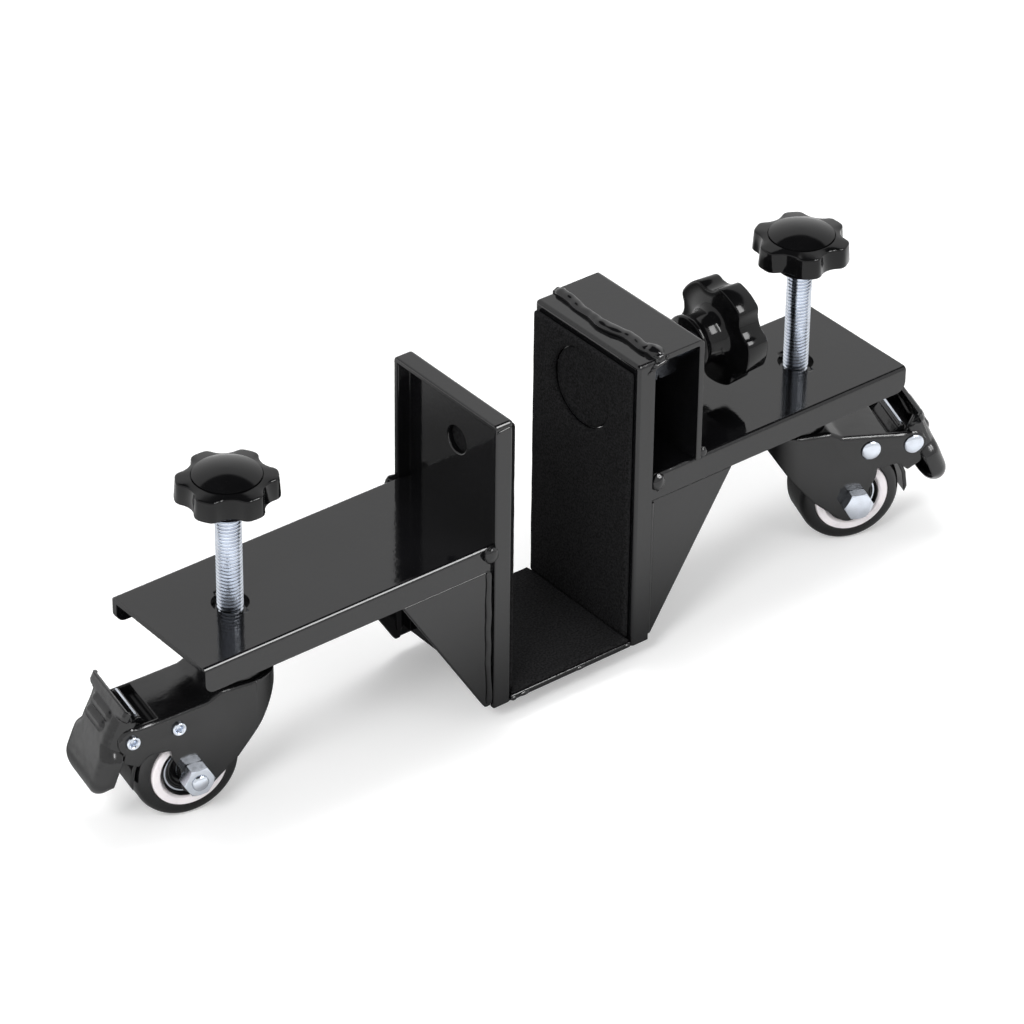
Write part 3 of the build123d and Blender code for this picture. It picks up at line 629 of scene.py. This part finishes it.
def brake_rivets(side):
    """The brake's two tubular rivets, domed on one side and flared on the other."""
    node = f"{side}_brake_rivets"
    head, brim, dome = 5.0, 17.3, 1.7
    seat, tail, shank = 17.0, 18.6, 2.2
    outline = [(head * math.sin(math.radians(angle)), -brim - dome * math.cos(math.radians(angle)))
               for angle in (4, 12, 22, 32, 42, 52, 62, 71, 79, 85, 90)]
    outline += [(head - 0.2, -seat), (shank, -seat), (shank, seat), (3.2, seat + 0.05), (3.35, seat + 0.5)]
    outline += [(radius, tail - depth) for radius, depth in (
        (3.25, 0.45), (3.0, 0.12), (2.7, 0), (2.35, 0.1), (1.9, 0.55), (1.5, 1.3), (1.35, 2.6), (0.3, 2.8))]
    mesh = bmesh.new()
    for joint in ("pedal_press", "shoe_swing"):
        rivet = bmesh.new()
        add_turned(rivet, outline, 48)
        moved(rivet, joint_place(f"{side}_{joint}") @ Matrix.Rotation(math.radians(-90), 4, "X"))
        take_in(mesh, rivet)
    piece(f"{side}_rivets", mesh, ZINC, BODY_OF[node], [node], crease=40)


def refinish(node, name, slot, crease=CREASE):
    """Put a node's own shape in its place, with joined corners and another finish."""
    piece(name, fresh_mesh(node), slot, BODY_OF[node], [node], crease)


class CRADLE_OT_fasteners(bpy.types.Operator):
    """Finish the nuts, bolts, rivets and the clamp foot"""
    bl_idname = "cradle.fasteners"
    bl_label = "Fasteners"

    def execute(self, context):
        for node in ("clamp_nut", "clamp_foot", "clamp_foot_clip"):
            dress(node)
        for side in SIDES:
            refinish(f"{side}_jack_nut", f"{side}_welded_nut", ENAMEL)
            for part in ("wheel_bearings", "swivel_bearings"):
                dress(f"{side}_{part}")
            for part, name in (("axle_bolt", "bright_bolt"), ("axle_nut", "bright_nut")):
                refinish(f"{side}_{part}", f"{side}_{name}", ZINC, 20)
            brake_rivets(side)
        return {"FINISHED"}


# ---- casters
def pressed_fork(side, fold):
    """Pressed fork with its crown folded round into the cheeks."""
    node = f"{side}_fork"
    place = joint_place(f"{side}_wheel_roll")
    cheek, slope = half_span(node, place) - FOLD_SLACK, 0.3
    across = place.col[1].to_3d().normalized()
    inverse = place.inverted()

    def is_crown_edge(line):
        if min(abs((inverse @ vert.co).y) for vert in line.verts) < cheek:
            return False
        outs = [face.normal for face in line.link_faces]
        tilts = sorted(abs(out.dot(across)) for out in outs)
        return tilts[0] < slope and tilts[1] > SQUARE and max(out.z for out in outs) > slope

    mesh = folded_mesh(node, is_crown_edge, fold, 6)
    piece(f"{side}_pressed_fork", mesh, CASTER_ENAMEL, BODY_OF[node], [node])


def spring_wire(side):
    """Bright return wire that lies along the shoe's upper bar."""
    node = f"{side}_brake_tongue"
    place = joint_place(f"{side}_shoe_swing")
    spots = [place.inverted() @ vert.co for vert in NODES[node].data.vertices]
    crest = max(spots, key=lambda spot: spot.z)
    half = max(abs(spot.y) for spot in spots if spot.z > crest.z - 0.5) - 1.5
    radius, back, lift, count = 0.75, 0.6, 0.3, 16
    mesh = bmesh.new()
    add_rings(mesh, [[Vector((crest.x + back + radius * math.cos(angle), across,
                              crest.z + lift + radius * math.sin(angle)))
                      for angle in (2 * math.pi * at / count for at in range(count))]
                     for across in (-half, half)])
    moved(mesh, place)
    piece(f"{side}_spring_wire", mesh, ZINC, BODY_OF[node])


class CRADLE_OT_casters(bpy.types.Operator):
    """Finish the forks, swivel heads, wheels and brakes"""
    bl_idname = "cradle.casters"
    bl_label = "Casters"

    def execute(self, context):
        sizes = context.scene.cradle_sizes
        for side in SIDES:
            pressed_fork(side, sizes.fork_fold)
            dress(f"{side}_tyre", 3 * sizes.caster_edge, 4)
            for part in ("swivel_head", "lower_cup", "brake_tongue", "rim"):
                dress(f"{side}_{part}", sizes.caster_edge, 2)
            spring_wire(side)
        return {"FINISHED"}


def add_sheet(mesh, grid, thickness):
    """Pressed sheet: a grid of points as its outer face, thickened against the face's normals."""
    rows, columns = len(grid), len(grid[0])
    outer = [[mesh.verts.new(spot) for spot in row] for row in grid]
    inner = []
    for at, row in enumerate(grid):
        line = []
        for spot, own in enumerate(row):
            along = grid[min(at + 1, rows - 1)][spot] - grid[max(at - 1, 0)][spot]
            across = row[min(spot + 1, columns - 1)] - row[max(spot - 1, 0)]
            line.append(mesh.verts.new(own + along.cross(across).normalized() * thickness))
        inner.append(line)
    for face in (outer, inner):
        for low, high in zip(face, face[1:]):
            for spot in range(columns - 1):
                mesh.faces.new((low[spot], low[spot + 1], high[spot + 1], high[spot]))
    rim = [(0, spot) for spot in range(columns)] + [(at, columns - 1) for at in range(1, rows)]
    rim += [(rows - 1, spot) for spot in range(columns - 2, -1, -1)]
    rim += [(at, 0) for at in range(rows - 2, 0, -1)]
    for (row, column), (next_row, next_column) in zip(rim, rim[1:] + rim[:1]):
        mesh.faces.new((outer[row][column], outer[next_row][next_column],
                        inner[next_row][next_column], inner[row][column]))


def add_plate(mesh, corners, low, high):
    """Flat plate from (back, up) corners, between two places across."""
    rows = [[mesh.verts.new((back, place, up)) for back, up in corners] for place in (low, high)]
    mesh.faces.new(rows[0])
    mesh.faces.new(rows[1][::-1])
    for at in range(len(corners)):
        after = (at + 1) % len(corners)
        mesh.faces.new((rows[0][at], rows[1][at], rows[1][after], rows[0][after]))


def smooth_step(low, high, value):
    share = min(1.0, max(0.0, (value - low) / (high - low)))
    return share * share * (3 - 2 * share)


# Pedal sizes in the joint's own millimetres. A rib is its run along the pedal and its two ends across, and
# a flange lies between two depths in from the pedal's side.
PEDAL_RIBS, RIB_RISE, RIB_FOOT, RIB_CREST = ((7.0, -7.2, 6.4), (13.0, -7.6, 4.6)), 1.25, 2.3, 0.9
PEDAL_SHEET, PEDAL_FLANGE = 1.7, (2.8, 4.6)
FLANGE_CORNERS = ((-3.2, 6.2), (0.4, 13.6), (3.6, 13.2), (8.0, 2.0), (13.0, -9.0), (13.6, -12.0),
                  (9.5, -10.5), (4.6, -5.3), (0, -6.9), (-4.8, -4.8), (-7, 0), (-6, 3.8))
CAM_CORNERS, CAM_HALF, HUB_RADIUS = ((0, 3), (-7, -1.6), (-7.6, -3.2), (-6.4, -4.2), (0, -3)), 6, 4.4
HUB_CORNERS = [(HUB_RADIUS * math.cos(math.radians(angle)), HUB_RADIUS * math.sin(math.radians(angle)))
               for angle in range(0, 360, 15)]


def rib_height(along, across):
    """Pressed relief of the pedal's two short ribs."""
    height = 0.0
    for middle, left, right in PEDAL_RIBS:
        beside = max(0.0, left - across, across - right)
        height = max(height, RIB_RISE * smooth_step(RIB_FOOT, RIB_CREST, math.hypot(beside, along - middle)))
    return height


def pedal_grid(half):
    """Outer face of the pedal from its lip down to its curled end."""
    chord, normal = Vector((0.398, 0, -0.917)), Vector((0.917, 0, 0.398))
    top, lip, hem = Vector((2.2, 0, 15.5)), 1.2, 1.5
    bow, bow_run = 0.9, 48
    curl_from, curl_radius, curl_turn = 34.5, 9.5, math.radians(80)
    corner, narrowing, lip_end = 13.0, 3.0, 2.2
    lip_bend, body_bend, lip_skirt, body_skirt = 0.7, 4.2, 0.2, 2.2
    grain_depth, grain_cells = 0.05, 0.35
    steps, columns, crowding = 92, 30, 0.6
    whole = curl_from + curl_radius * curl_turn

    def bowed(run):
        return top + chord * run + normal * bow * math.sin(math.pi * run / bow_run)

    stations = [(top - chord * lip, normal, 0.0)]
    for step in range(steps + 1):
        run = whole * step / steps
        if run <= curl_from:
            stations.append((bowed(run), normal, run))
        else:
            turn = (run - curl_from) / curl_radius
            spot = bowed(curl_from) + chord * curl_radius * math.sin(turn) \
                - normal * curl_radius * (1 - math.cos(turn))
            stations.append((spot, normal * math.cos(turn) + chord * math.sin(turn), run))
    grid = []
    for spot, out, run in stations:
        waist = smooth_step(lip_end, 3.8, run) * (1 - smooth_step(19, 25, run))
        wide = half - narrowing * waist
        if run > whole - corner:
            wide = half - corner + math.sqrt(max(0.0, corner ** 2 - (run - whole + corner) ** 2))
        shoulder = smooth_step(lip_end, 4.5, run)
        bend, skirt = lip_bend + body_bend * shoulder, lip_skirt + body_skirt * shoulder
        row = []
        for column in range(-columns, columns + 1):
            share = math.sin(math.pi / 2 * column / columns) * crowding + column / columns * (1 - crowding)
            across = wide * share
            edge = min(wide - abs(across), whole - run) if run > curl_from else wide - abs(across)
            drop = bend - math.sqrt(max(0.0, bend ** 2 - max(0.0, bend - edge) ** 2))
            grain = grain_depth * noise.noise(Vector((run * grain_cells, across * grain_cells, 4)))
            row.append(spot + Vector((0, across, 0)) + out * (rib_height(run, across) + grain - drop))
        inward = out * -skirt
        grid.append([row[0] + inward] + row + [row[-1] + inward])
    grid.append([own - stations[-1][1] * hem for own in grid[-1]])
    return grid


def pressed_pedal(side):
    """Brake pedal: curled face with two ribs, side flanges, hub and cam."""
    node = f"{side}_brake_pedal"
    place = joint_place(f"{side}_pedal_press")
    half = half_span(node, place)
    mesh = bmesh.new()
    add_sheet(mesh, pedal_grid(half), PEDAL_SHEET)
    outer, inner = (half - depth for depth in PEDAL_FLANGE)
    overlap = 0.1
    for low, high in ((-outer, -inner), (inner, outer)):
        add_plate(mesh, FLANGE_CORNERS, low, high)
    add_plate(mesh, HUB_CORNERS, -inner - overlap, inner + overlap)
    add_plate(mesh, CAM_CORNERS, -CAM_HALF, CAM_HALF)
    moved(mesh, place)
    piece(f"{side}_pressed_pedal", mesh, CASTER_ENAMEL, BODY_OF[node], [node], crease=38)


class CRADLE_OT_pedals(bpy.types.Operator):
    """Press the brake pedals with their ribs and curled ends"""
    bl_idname = "cradle.pedals"
    bl_label = "Brake pedals"

    def execute(self, context):
        for side in SIDES:
            pressed_pedal(side)
        return {"FINISHED"}


def hub_cover(side):
    """Dark shields with a bright race ring, over both faces of a wheel's bearings."""
    rim = f"{side}_rim"
    place = joint_place(f"{side}_wheel_roll")
    face, seat = half_span(rim, place), half_span(f"{side}_wheel_bearings", place)
    shield = [(radius, seat + height) for radius, height in (
        (6.0, 0.3), (6.0, 0.7), (8.6, 0.7), (9.0, 1.2), (9.6, 1.2), (10.0, 0.7), (12.2, 0.7))]
    shield += [(12.9, face - 0.6), (13.1, face - 0.2), (13.2, face - 0.3), (12.3, seat + 0.3)]
    race = [(radius, seat + height) for radius, height in (
        (11.2, 0.5), (11.2, 1.4), (11.9, 1.4), (11.9, 0.5))]
    for name, outline, slot in (("bearing_shields", shield, CASTER_ENAMEL), ("bearing_races", race, ZINC)):
        mesh = bmesh.new()
        for hand in (-1, 1):
            rings = [circle(radius, hand * height, 72) for radius, height in outline]
            add_rings(mesh, rings + rings[:1], capped=False)
        bmesh.ops.remove_doubles(mesh, verts=mesh.verts, dist=1e-5)
        moved(mesh, place @ Matrix.Rotation(math.radians(90), 4, "X"))
        piece(f"{side}_{name}", mesh, slot, BODY_OF[rim], crease=40)
    refinish(f"{side}_axle_spacers", f"{side}_bushes", CASTER_ENAMEL)


class CRADLE_OT_hubs(bpy.types.Operator):
    """Cover the wheels' bearings with their shields"""
    bl_idname = "cradle.hubs"
    bl_label = "Wheel hubs"

    def execute(self, context):
        for side in SIDES:
            hub_cover(side)
        return {"FINISHED"}


# ---- foam linings
# The clamp foot's foam swells a little past its disc.
FOAM_SWELL = {"left_wall_foam": 0.0, "right_wall_foam": 0.0, "floor_foam": 0.0, "clamp_foot_foam": 0.02}
FOAM_COARSE, FOAM_FINE, FOAM_SEED = 60, 190, 7.3


def foam_lining(node, sizes, seed, swell):
    """Foam sheet with soft edges and a slightly uneven face, from a node's solid."""
    mesh = fresh_mesh(node)
    if swell:
        middle = middle_of(node)
        for vert in mesh.verts:
            vert.co.y = middle.y + (vert.co.y - middle.y) * (1 + swell)
            vert.co.z = middle.z + (vert.co.z - middle.z) * (1 + swell)
    source = bpy.data.meshes.new("foam blank")
    mesh.to_mesh(source)
    mesh.free()
    blank = put("foam blank", source)
    remesh = blank.modifiers.new("even mesh", "REMESH")
    remesh.mode = "VOXEL"
    remesh.voxel_size = sizes.foam_voxel
    shape = bpy.data.meshes.new_from_object(blank.evaluated_get(bpy.context.evaluated_depsgraph_get()))
    mesh = bmesh.new()
    mesh.from_mesh(shape)
    bpy.data.objects.remove(blank)
    bmesh.ops.smooth_vert(mesh, verts=mesh.verts, factor=0.5,
                          use_axis_x=True, use_axis_y=True, use_axis_z=True)
    mesh.normal_update()
    for vert in mesh.verts:
        lift = noise.noise(vert.co * FOAM_COARSE + Vector((seed, 0, 0)))
        lift += 0.5 * noise.noise(vert.co * FOAM_FINE)
        vert.co += vert.normal * lift * sizes.foam_wave
    made = piece(node + "_lining", mesh, FOAM, BODY_OF[node], [node], crease=180)


class CRADLE_OT_foams(bpy.types.Operator):
    """Make the foam linings of the cradle and of the clamp foot"""
    bl_idname = "cradle.foams"
    bl_label = "Foam linings"

    def execute(self, context):
        for at, (node, swell) in enumerate(FOAM_SWELL.items()):
            foam_lining(node, context.scene.cradle_sizes, FOAM_SEED * at, swell)
        return {"FINISHED"}


# ---- welds
BEAD_STEP, BEAD_SIDES, BEAD_LEAST = 0.7, 14, 0.12
PULSE_CELLS, TALL_CELLS, WANDER_CELLS, ROUGH_CELLS, RIPPLE_RATE = 62, 75, 70, 60, 900
PULSE, TALL, ROUGH, RIPPLE = 0.3, 0.25, 0.12, 0.03
DROP_STACKS, DROP_SIDES, DROP_ROUGH, DROP_CELLS = 16, 24, 0.14, 1.6
# A bead is its path, the way it stands up, half its width, its height, its seed and how far it wanders.
# A drop is its middle, its radii and its seed.
BEADS = {
    "bracket_seam_bead": [
        (((47.6, 36.6, 145.6), (45.0, 2, 145.6), (46.2, -10, 145.7), (48.4, -31.5, 145.8)),
         (0, 0, 1), 3.0, 2.3, 1, 2.0),
        (((42.2, -37.0, 141.0), (45.4, -37.2, 142.6), (51.0, -37.2, 144.2)), (0, -1, 0), 0.9, 0.9, 2, 1.2),
        (((40.0, -36.6, 139.4), (44.0, -37.0, 140.8), (47.5, -37.1, 141.8)), (0, -1, 0), 0.8, 0.8, 3, 1.0)],
    "left_gusset_bead": [
        (((-47.2, -35.4, 69.0), (-47.4, -35.4, 44.0), (-46.6, -35.4, -2.5)),
         (-0.35, -1, 0), 1.5, 0.8, 4, 1.0)],
    "right_gusset_bead": [
        (((46.6, -35.2, 68.0), (46.3, -35.2, -3.5)), (0.35, -1, 0), 1.4, 0.9, 5, 0.8)],
    "left_rear_gusset_bead": [
        (((-46.6, 35.2, 68.0), (-46.4, 35.2, -3.5)), (-0.35, 1, 0), 2.2, 1.2, 6, 1.4),
        (((-47.0, 32.0, 67.0), (-46.6, 32.0, 0.0)), (-1, -0.6, 0), 1.8, 1.4, 7, 2.0)],
    "right_rear_gusset_bead": [
        (((46.6, 35.2, 68.0), (46.4, 35.2, -3.5)), (0.35, 1, 0), 2.2, 1.2, 8, 1.4)],
    "shelf_seam_beads": [
        (((74.2, 35.0, 82.2), (74.2, -35.0, 82.2)), (0.7, 0, 0.7), 1.4, 1.1, 11, 0.8)],
    "floor_seam_beads": [
        (((-34.8, -35.5, -5.9), (-34.8, 35.5, -5.9)), (0, 0, -1), 1.6, 0.7, 12, 0.8),
        (((34.8, 35.5, -5.9), (34.8, -35.5, -5.9)), (0, 0, -1), 1.6, 0.7, 13, 0.8)],
    "corner_beads": [
        (((-44.5, -37.0, 141.6), (-36.5, -37.0, 142.2)), (0, -1, 0), 0.7, 0.6, 14, 0.6),
        (((-44.5, 37.0, 141.6), (-36.5, 37.0, 142.2)), (0, 1, 0), 0.7, 0.6, 15, 0.6),
        (((44.5, 37.0, 141.6), (36.5, 37.0, 142.2)), (0, 1, 0), 0.7, 0.6, 16, 0.6)],
}
DROPS = {
    "bracket_seam_bead": [
        ((48.6, -30.6, 145.6), (4.4, 6.0, 2.9), 1), ((48.2, -35.4, 144.6), (3.2, 2.4, 2.6), 2),
        ((44.6, -36.8, 142.6), (1.6, 1.2, 1.3), 17), ((51.4, -36.9, 144.6), (1.3, 1.0, 1.1), 18)],
    "shelf_seam_beads": [
        ((-46.8, -36.2, 78.6), (3.9, 2.6, 4.2), 3), ((48.8, -36.2, 78.8), (3.5, 2.6, 4.6), 4),
        ((-46.8, 36.2, 78.6), (3.9, 2.6, 4.2), 5), ((48.8, 36.2, 78.8), (3.5, 2.6, 4.6), 6),
        ((75.2, -35.8, 84.4), (2.2, 1.6, 2.6), 7), ((75.2, 35.8, 84.4), (2.2, 1.6, 2.6), 8)],
    "floor_seam_beads": [
        ((4.9, -37.0, -4.4), (2.8, 0.9, 1.1), 9), ((-27.5, -37.0, -4.4), (3.0, 1.0, 1.2), 10),
        ((32.4, -37.0, -4.0), (1.6, 0.7, 0.9), 11), ((-33.6, -37.0, -4.6), (1.8, 0.9, 1.2), 12)],
}


def add_bead(mesh, path, up, half_width, height, seed, wander):
    """Weld bead along a path: a flat oval cord with ripples, tapered at both ends."""
    spots = [Vector(spot) * MM for spot in path]
    up = Vector(up).normalized()
    lengths = [(after - before).length for before, after in zip(spots, spots[1:])]
    total = sum(lengths)
    steps = max(6, int(total / (BEAD_STEP * MM)))
    rings = []
    for step in range(steps + 1):
        run = total * step / steps
        leg = 0
        while leg < len(lengths) - 1 and run > lengths[leg]:
            run -= lengths[leg]
            leg += 1
        along = (spots[leg + 1] - spots[leg]).normalized()
        across = along.cross(up).normalized()
        middle = spots[leg] + along * run
        share = step / steps
        arch = math.sin(math.pi * min(max(share, 0.012), 0.988))
        end = math.sqrt(min(1.0, arch * total / (4 * half_width * MM) + BEAD_LEAST))
        pulse = noise.noise(Vector((seed, total * share * PULSE_CELLS, 0)))
        ripple = RIPPLE * math.sin(total * share * RIPPLE_RATE + 3 * pulse)
        wide = half_width * MM * end * (1 + PULSE * pulse + 0.4 * ripple)
        lift = TALL * noise.noise(Vector((0, seed, total * share * TALL_CELLS)))
        tall = height * MM * end * (1 + lift + ripple)
        middle += across * wander * MM * noise.noise(Vector((total * share * WANDER_CELLS, seed, 3)))
        ring = []
        for at in range(BEAD_SIDES):
            cos, sin = (turn(2 * math.pi * at / BEAD_SIDES) for turn in (math.cos, math.sin))
            rough = 1 + ROUGH * noise.noise(Vector((cos + seed, sin, total * share * ROUGH_CELLS)))
            ring.append(middle + across * wide * rough * cos + up * tall * rough * sin)
        rings.append(ring)
    add_rings(mesh, rings)


def add_drop(mesh, middle, radii, seed):
    """Drop of weld metal, slightly lumpy."""
    rows = []
    for stack in range(DROP_STACKS + 1):
        tilt = math.pi * stack / DROP_STACKS
        if stack in (0, DROP_STACKS):
            ring = [Vector((0, 0, math.cos(tilt)))]
        else:
            ring = circle(math.sin(tilt), math.cos(tilt), DROP_SIDES)
        row = []
        for spot in ring:
            rough = 1 + DROP_ROUGH * noise.noise(spot * DROP_CELLS + Vector((seed, 0, 0)))
            row.append(mesh.verts.new([(at + size * part * rough) * MM
                                       for at, size, part in zip(middle, radii, spot)]))
        rows.append(row)
    for upper, lower in zip(rows, rows[1:]):
        for at in range(DROP_SIDES):
            after = (at + 1) % DROP_SIDES
            if len(upper) == 1:
                mesh.faces.new((upper[0], lower[at], lower[after]))
            elif len(lower) == 1:
                mesh.faces.new((upper[at], lower[0], upper[after]))
            else:
                mesh.faces.new((upper[at], lower[at], lower[after], upper[after]))


class CRADLE_OT_welds(bpy.types.Operator):
    """Lay the weld beads and drops of the frame"""
    bl_idname = "cradle.welds"
    bl_label = "Welds"

    def execute(self, context):
        for name, beads in BEADS.items():
            mesh = bmesh.new()
            for bead in beads:
                add_bead(mesh, *bead)
            for drop in DROPS.get(name, ()):
                add_drop(mesh, *drop)
            piece(name, mesh, ENAMEL, "frame", crease=80)
        return {"FINISHED"}


# ---- knobs and screws
# Outlines are (radius, height) points in millimetres.
JACK_HUB = ((10.2, 0), (11, 0.8), (11, 6.4), (12.2, 7.0))
CLAMP_HUB = ((12.9, 0), (13.7, 0.8), (13.7, 2.2), (13.2, 3.0), (12.1, 4.0), (12.0, 5.5), (12.0, 12.0),
             (13.0, 14.5), (15.2, 16.2))
KNOB_BORE, KNOB_BORE_DEPTH = 6.25, 6.8
KNOB_WELL = ((16.2, 0.1), (15.75, 0), (15.55, 0.25), (15.55, 1))
LOBE_DEPTH, LOBE_UNDERCUT, LOBE_DRAFT, LOBE_SLOPE = 4, 1.5, 0.6, 0.7


def lobe_bearing(node, inverse, lobes):
    """Bearing of a knob's first lobe and the lobes' reach, from the plain model."""
    spots = [inverse @ vert.co for vert in NODES[node].data.vertices]
    reach = max(math.hypot(spot.x, spot.y) for spot in spots)
    tips = [math.atan2(spot.y, spot.x) for spot in spots if math.hypot(spot.x, spot.y) > 0.995 * reach]
    return math.atan2(sum(math.sin(lobes * angle) for angle in tips),
                      sum(math.cos(lobes * angle) for angle in tips)) / lobes, reach


def star_knob(name, node, place, lobes, hub, front, sizes):
    """Moulded star knob about its own Z, with its hub's end at z = 0 and its star on the hub's last point."""
    turn, tip = lobe_bearing(node, place.inverted(), lobes)
    edge = sizes.knob_edge
    star_low = hub[-1][1] * MM
    draft, slope = LOBE_DRAFT * MM, LOBE_SLOPE * MM
    sweeps = [math.radians(angle) for angle in (0, 30, 60, 90)]

    def star(inset, height):
        return star_ring(tip, LOBE_DEPTH * MM, lobes, inset, height, turn)

    like = star(0, 0)
    rings = [even_circle(like, KNOB_BORE * MM, front - KNOB_BORE_DEPTH * MM),
             even_circle(like, KNOB_BORE * MM, 0)]
    rings += [even_circle(like, radius * MM, height * MM) for radius, height in hub]
    rings.append(star(LOBE_UNDERCUT * MM, star_low))
    rings += [star(edge * (1 - math.sin(sweep)), star_low + edge * (1 - math.cos(sweep))) for sweep in sweeps]
    rings += [star(draft + edge * (1 - math.cos(sweep)), front - slope - edge * (1 - math.sin(sweep)))
              for sweep in sweeps]
    rings += [even_circle(like, radius * MM, front - depth * MM) for radius, depth in KNOB_WELL]
    mesh = bmesh.new()
    add_rings(mesh, rings)
    moved(mesh, place)
    piece(name, mesh, KNOB, BODY_OF[node], [node], crease=50)
    dress(node + "_cap")


class CRADLE_OT_knobs(bpy.types.Operator):
    """Mould the star knobs of the jack screws and of the clamp"""
    bl_idname = "cradle.knobs"
    bl_label = "Star knobs"

    def execute(self, context):
        sizes = context.scene.cradle_sizes
        for side in SIDES:
            low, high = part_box(f"{side}_jack_knob")
            centre = middle_of(f"{side}_jack_screw")
            star_knob(f"{side}_star_knob", f"{side}_jack_knob",
                      Matrix.Translation((centre.x, centre.y, low.z)), 6, JACK_HUB, high.z - low.z, sizes)
        low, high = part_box("clamp_knob")
        centre = middle_of("clamp_screw")
        star_knob("clamp_star_knob", "clamp_knob", Matrix.Translation((low.x, centre.y, centre.z)) @ Z_TO_X,
                  5, CLAMP_HUB, high.x - low.x, sizes)
        return {"FINISHED"}


def threaded_screw(name, node, place, outline, crest, span, sizes):
    """Screw about its own Z: its turned end, and its thread between two heights."""
    mesh, end = bmesh.new(), bmesh.new()
    add_thread(mesh, crest, crest - sizes.thread_depth, sizes.thread_pitch, *span)
    add_turned(end, outline)
    take_in(mesh, end)
    moved(mesh, place)
    piece(name, mesh, ZINC, BODY_OF[node], [node], crease=30)


class CRADLE_OT_screws(bpy.types.Operator):
    """Make the jack screws and the clamp screw with their threads"""
    bl_idname = "cradle.screws"
    bl_label = "Screws"

    def execute(self, context):
        sizes = context.scene.cradle_sizes
        for side in SIDES:
            node = f"{side}_jack_screw"
            low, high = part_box(node)
            middle = middle_of(node)
            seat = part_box(f"{side}_swivel_head")[1].z
            neck = [(5.5 * MM, low.z), (6.5 * MM, low.z + 0.8 * MM), (6.5 * MM, low.z + 1.6 * MM),
                    (4.5 * MM, low.z + 1.6 * MM), (4.5 * MM, seat + 1 * MM)]
            threaded_screw(f"{side}_jack_thread", node, Matrix.Translation((middle.x, middle.y, 0)), neck,
                           reach_of(node, middle, seat + 2 * MM), (seat, high.z), sizes)
        low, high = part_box("clamp_screw")
        middle = middle_of("clamp_screw")
        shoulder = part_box("clamp_foot")[1].x + 0.3 * MM
        nose = [(3.4 * MM, low.x), (4 * MM, low.x + 0.6 * MM), (4 * MM, shoulder + 1 * MM)]
        threaded_screw("clamp_thread", "clamp_screw", Matrix.Translation((0, middle.y, middle.z)) @ Z_TO_X,
                       nose, high.z - middle.z, (shoulder, high.x), sizes)
        return {"FINISHED"}


# ---- add-on
STEPS = ("plates", "welds", "fasteners", "casters", "pedals", "hubs", "foams", "knobs", "screws", "stage")


class CRADLE_PT_panel(bpy.types.Panel):
    """Everything that this add-on makes, and its sizes"""
    bl_label = "Clamp cradle"
    bl_space_type = "VIEW_3D"
    bl_region_type = "UI"
    bl_category = "Cradle"

    def draw(self, context):
        for step in STEPS:
            self.layout.operator("cradle." + step)
        for group in (context.scene.cradle_sizes, context.scene.cradle_colours):
            column = self.layout.column(align=True)
            for name in group.bl_rna.properties.keys():
                if name not in ("rna_type", "name"):
                    column.prop(group, name)


CLASSES = (CradleSizes, CradleColours, CRADLE_OT_plates, CRADLE_OT_welds, CRADLE_OT_fasteners,
           CRADLE_OT_casters, CRADLE_OT_pedals, CRADLE_OT_hubs, CRADLE_OT_foams, CRADLE_OT_knobs,
           CRADLE_OT_screws, CRADLE_OT_stage, CRADLE_PT_panel)


def register():
    for made in CLASSES:
        bpy.utils.register_class(made)
    bpy.types.Scene.cradle_sizes = PointerProperty(type=CradleSizes)
    bpy.types.Scene.cradle_colours = PointerProperty(type=CradleColours)


def unregister():
    del bpy.types.Scene.cradle_sizes
    del bpy.types.Scene.cradle_colours
    for made in reversed(CLASSES):
        bpy.utils.unregister_class(made)


def main():
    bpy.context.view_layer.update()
    register()
    for node in NODES:
        if not NODES[node].material_slots:
            raise RuntimeError(node + " has no material slot")
    for step in STEPS:
        getattr(bpy.ops.cradle, step)()


if __name__ == "__main__":
    main()
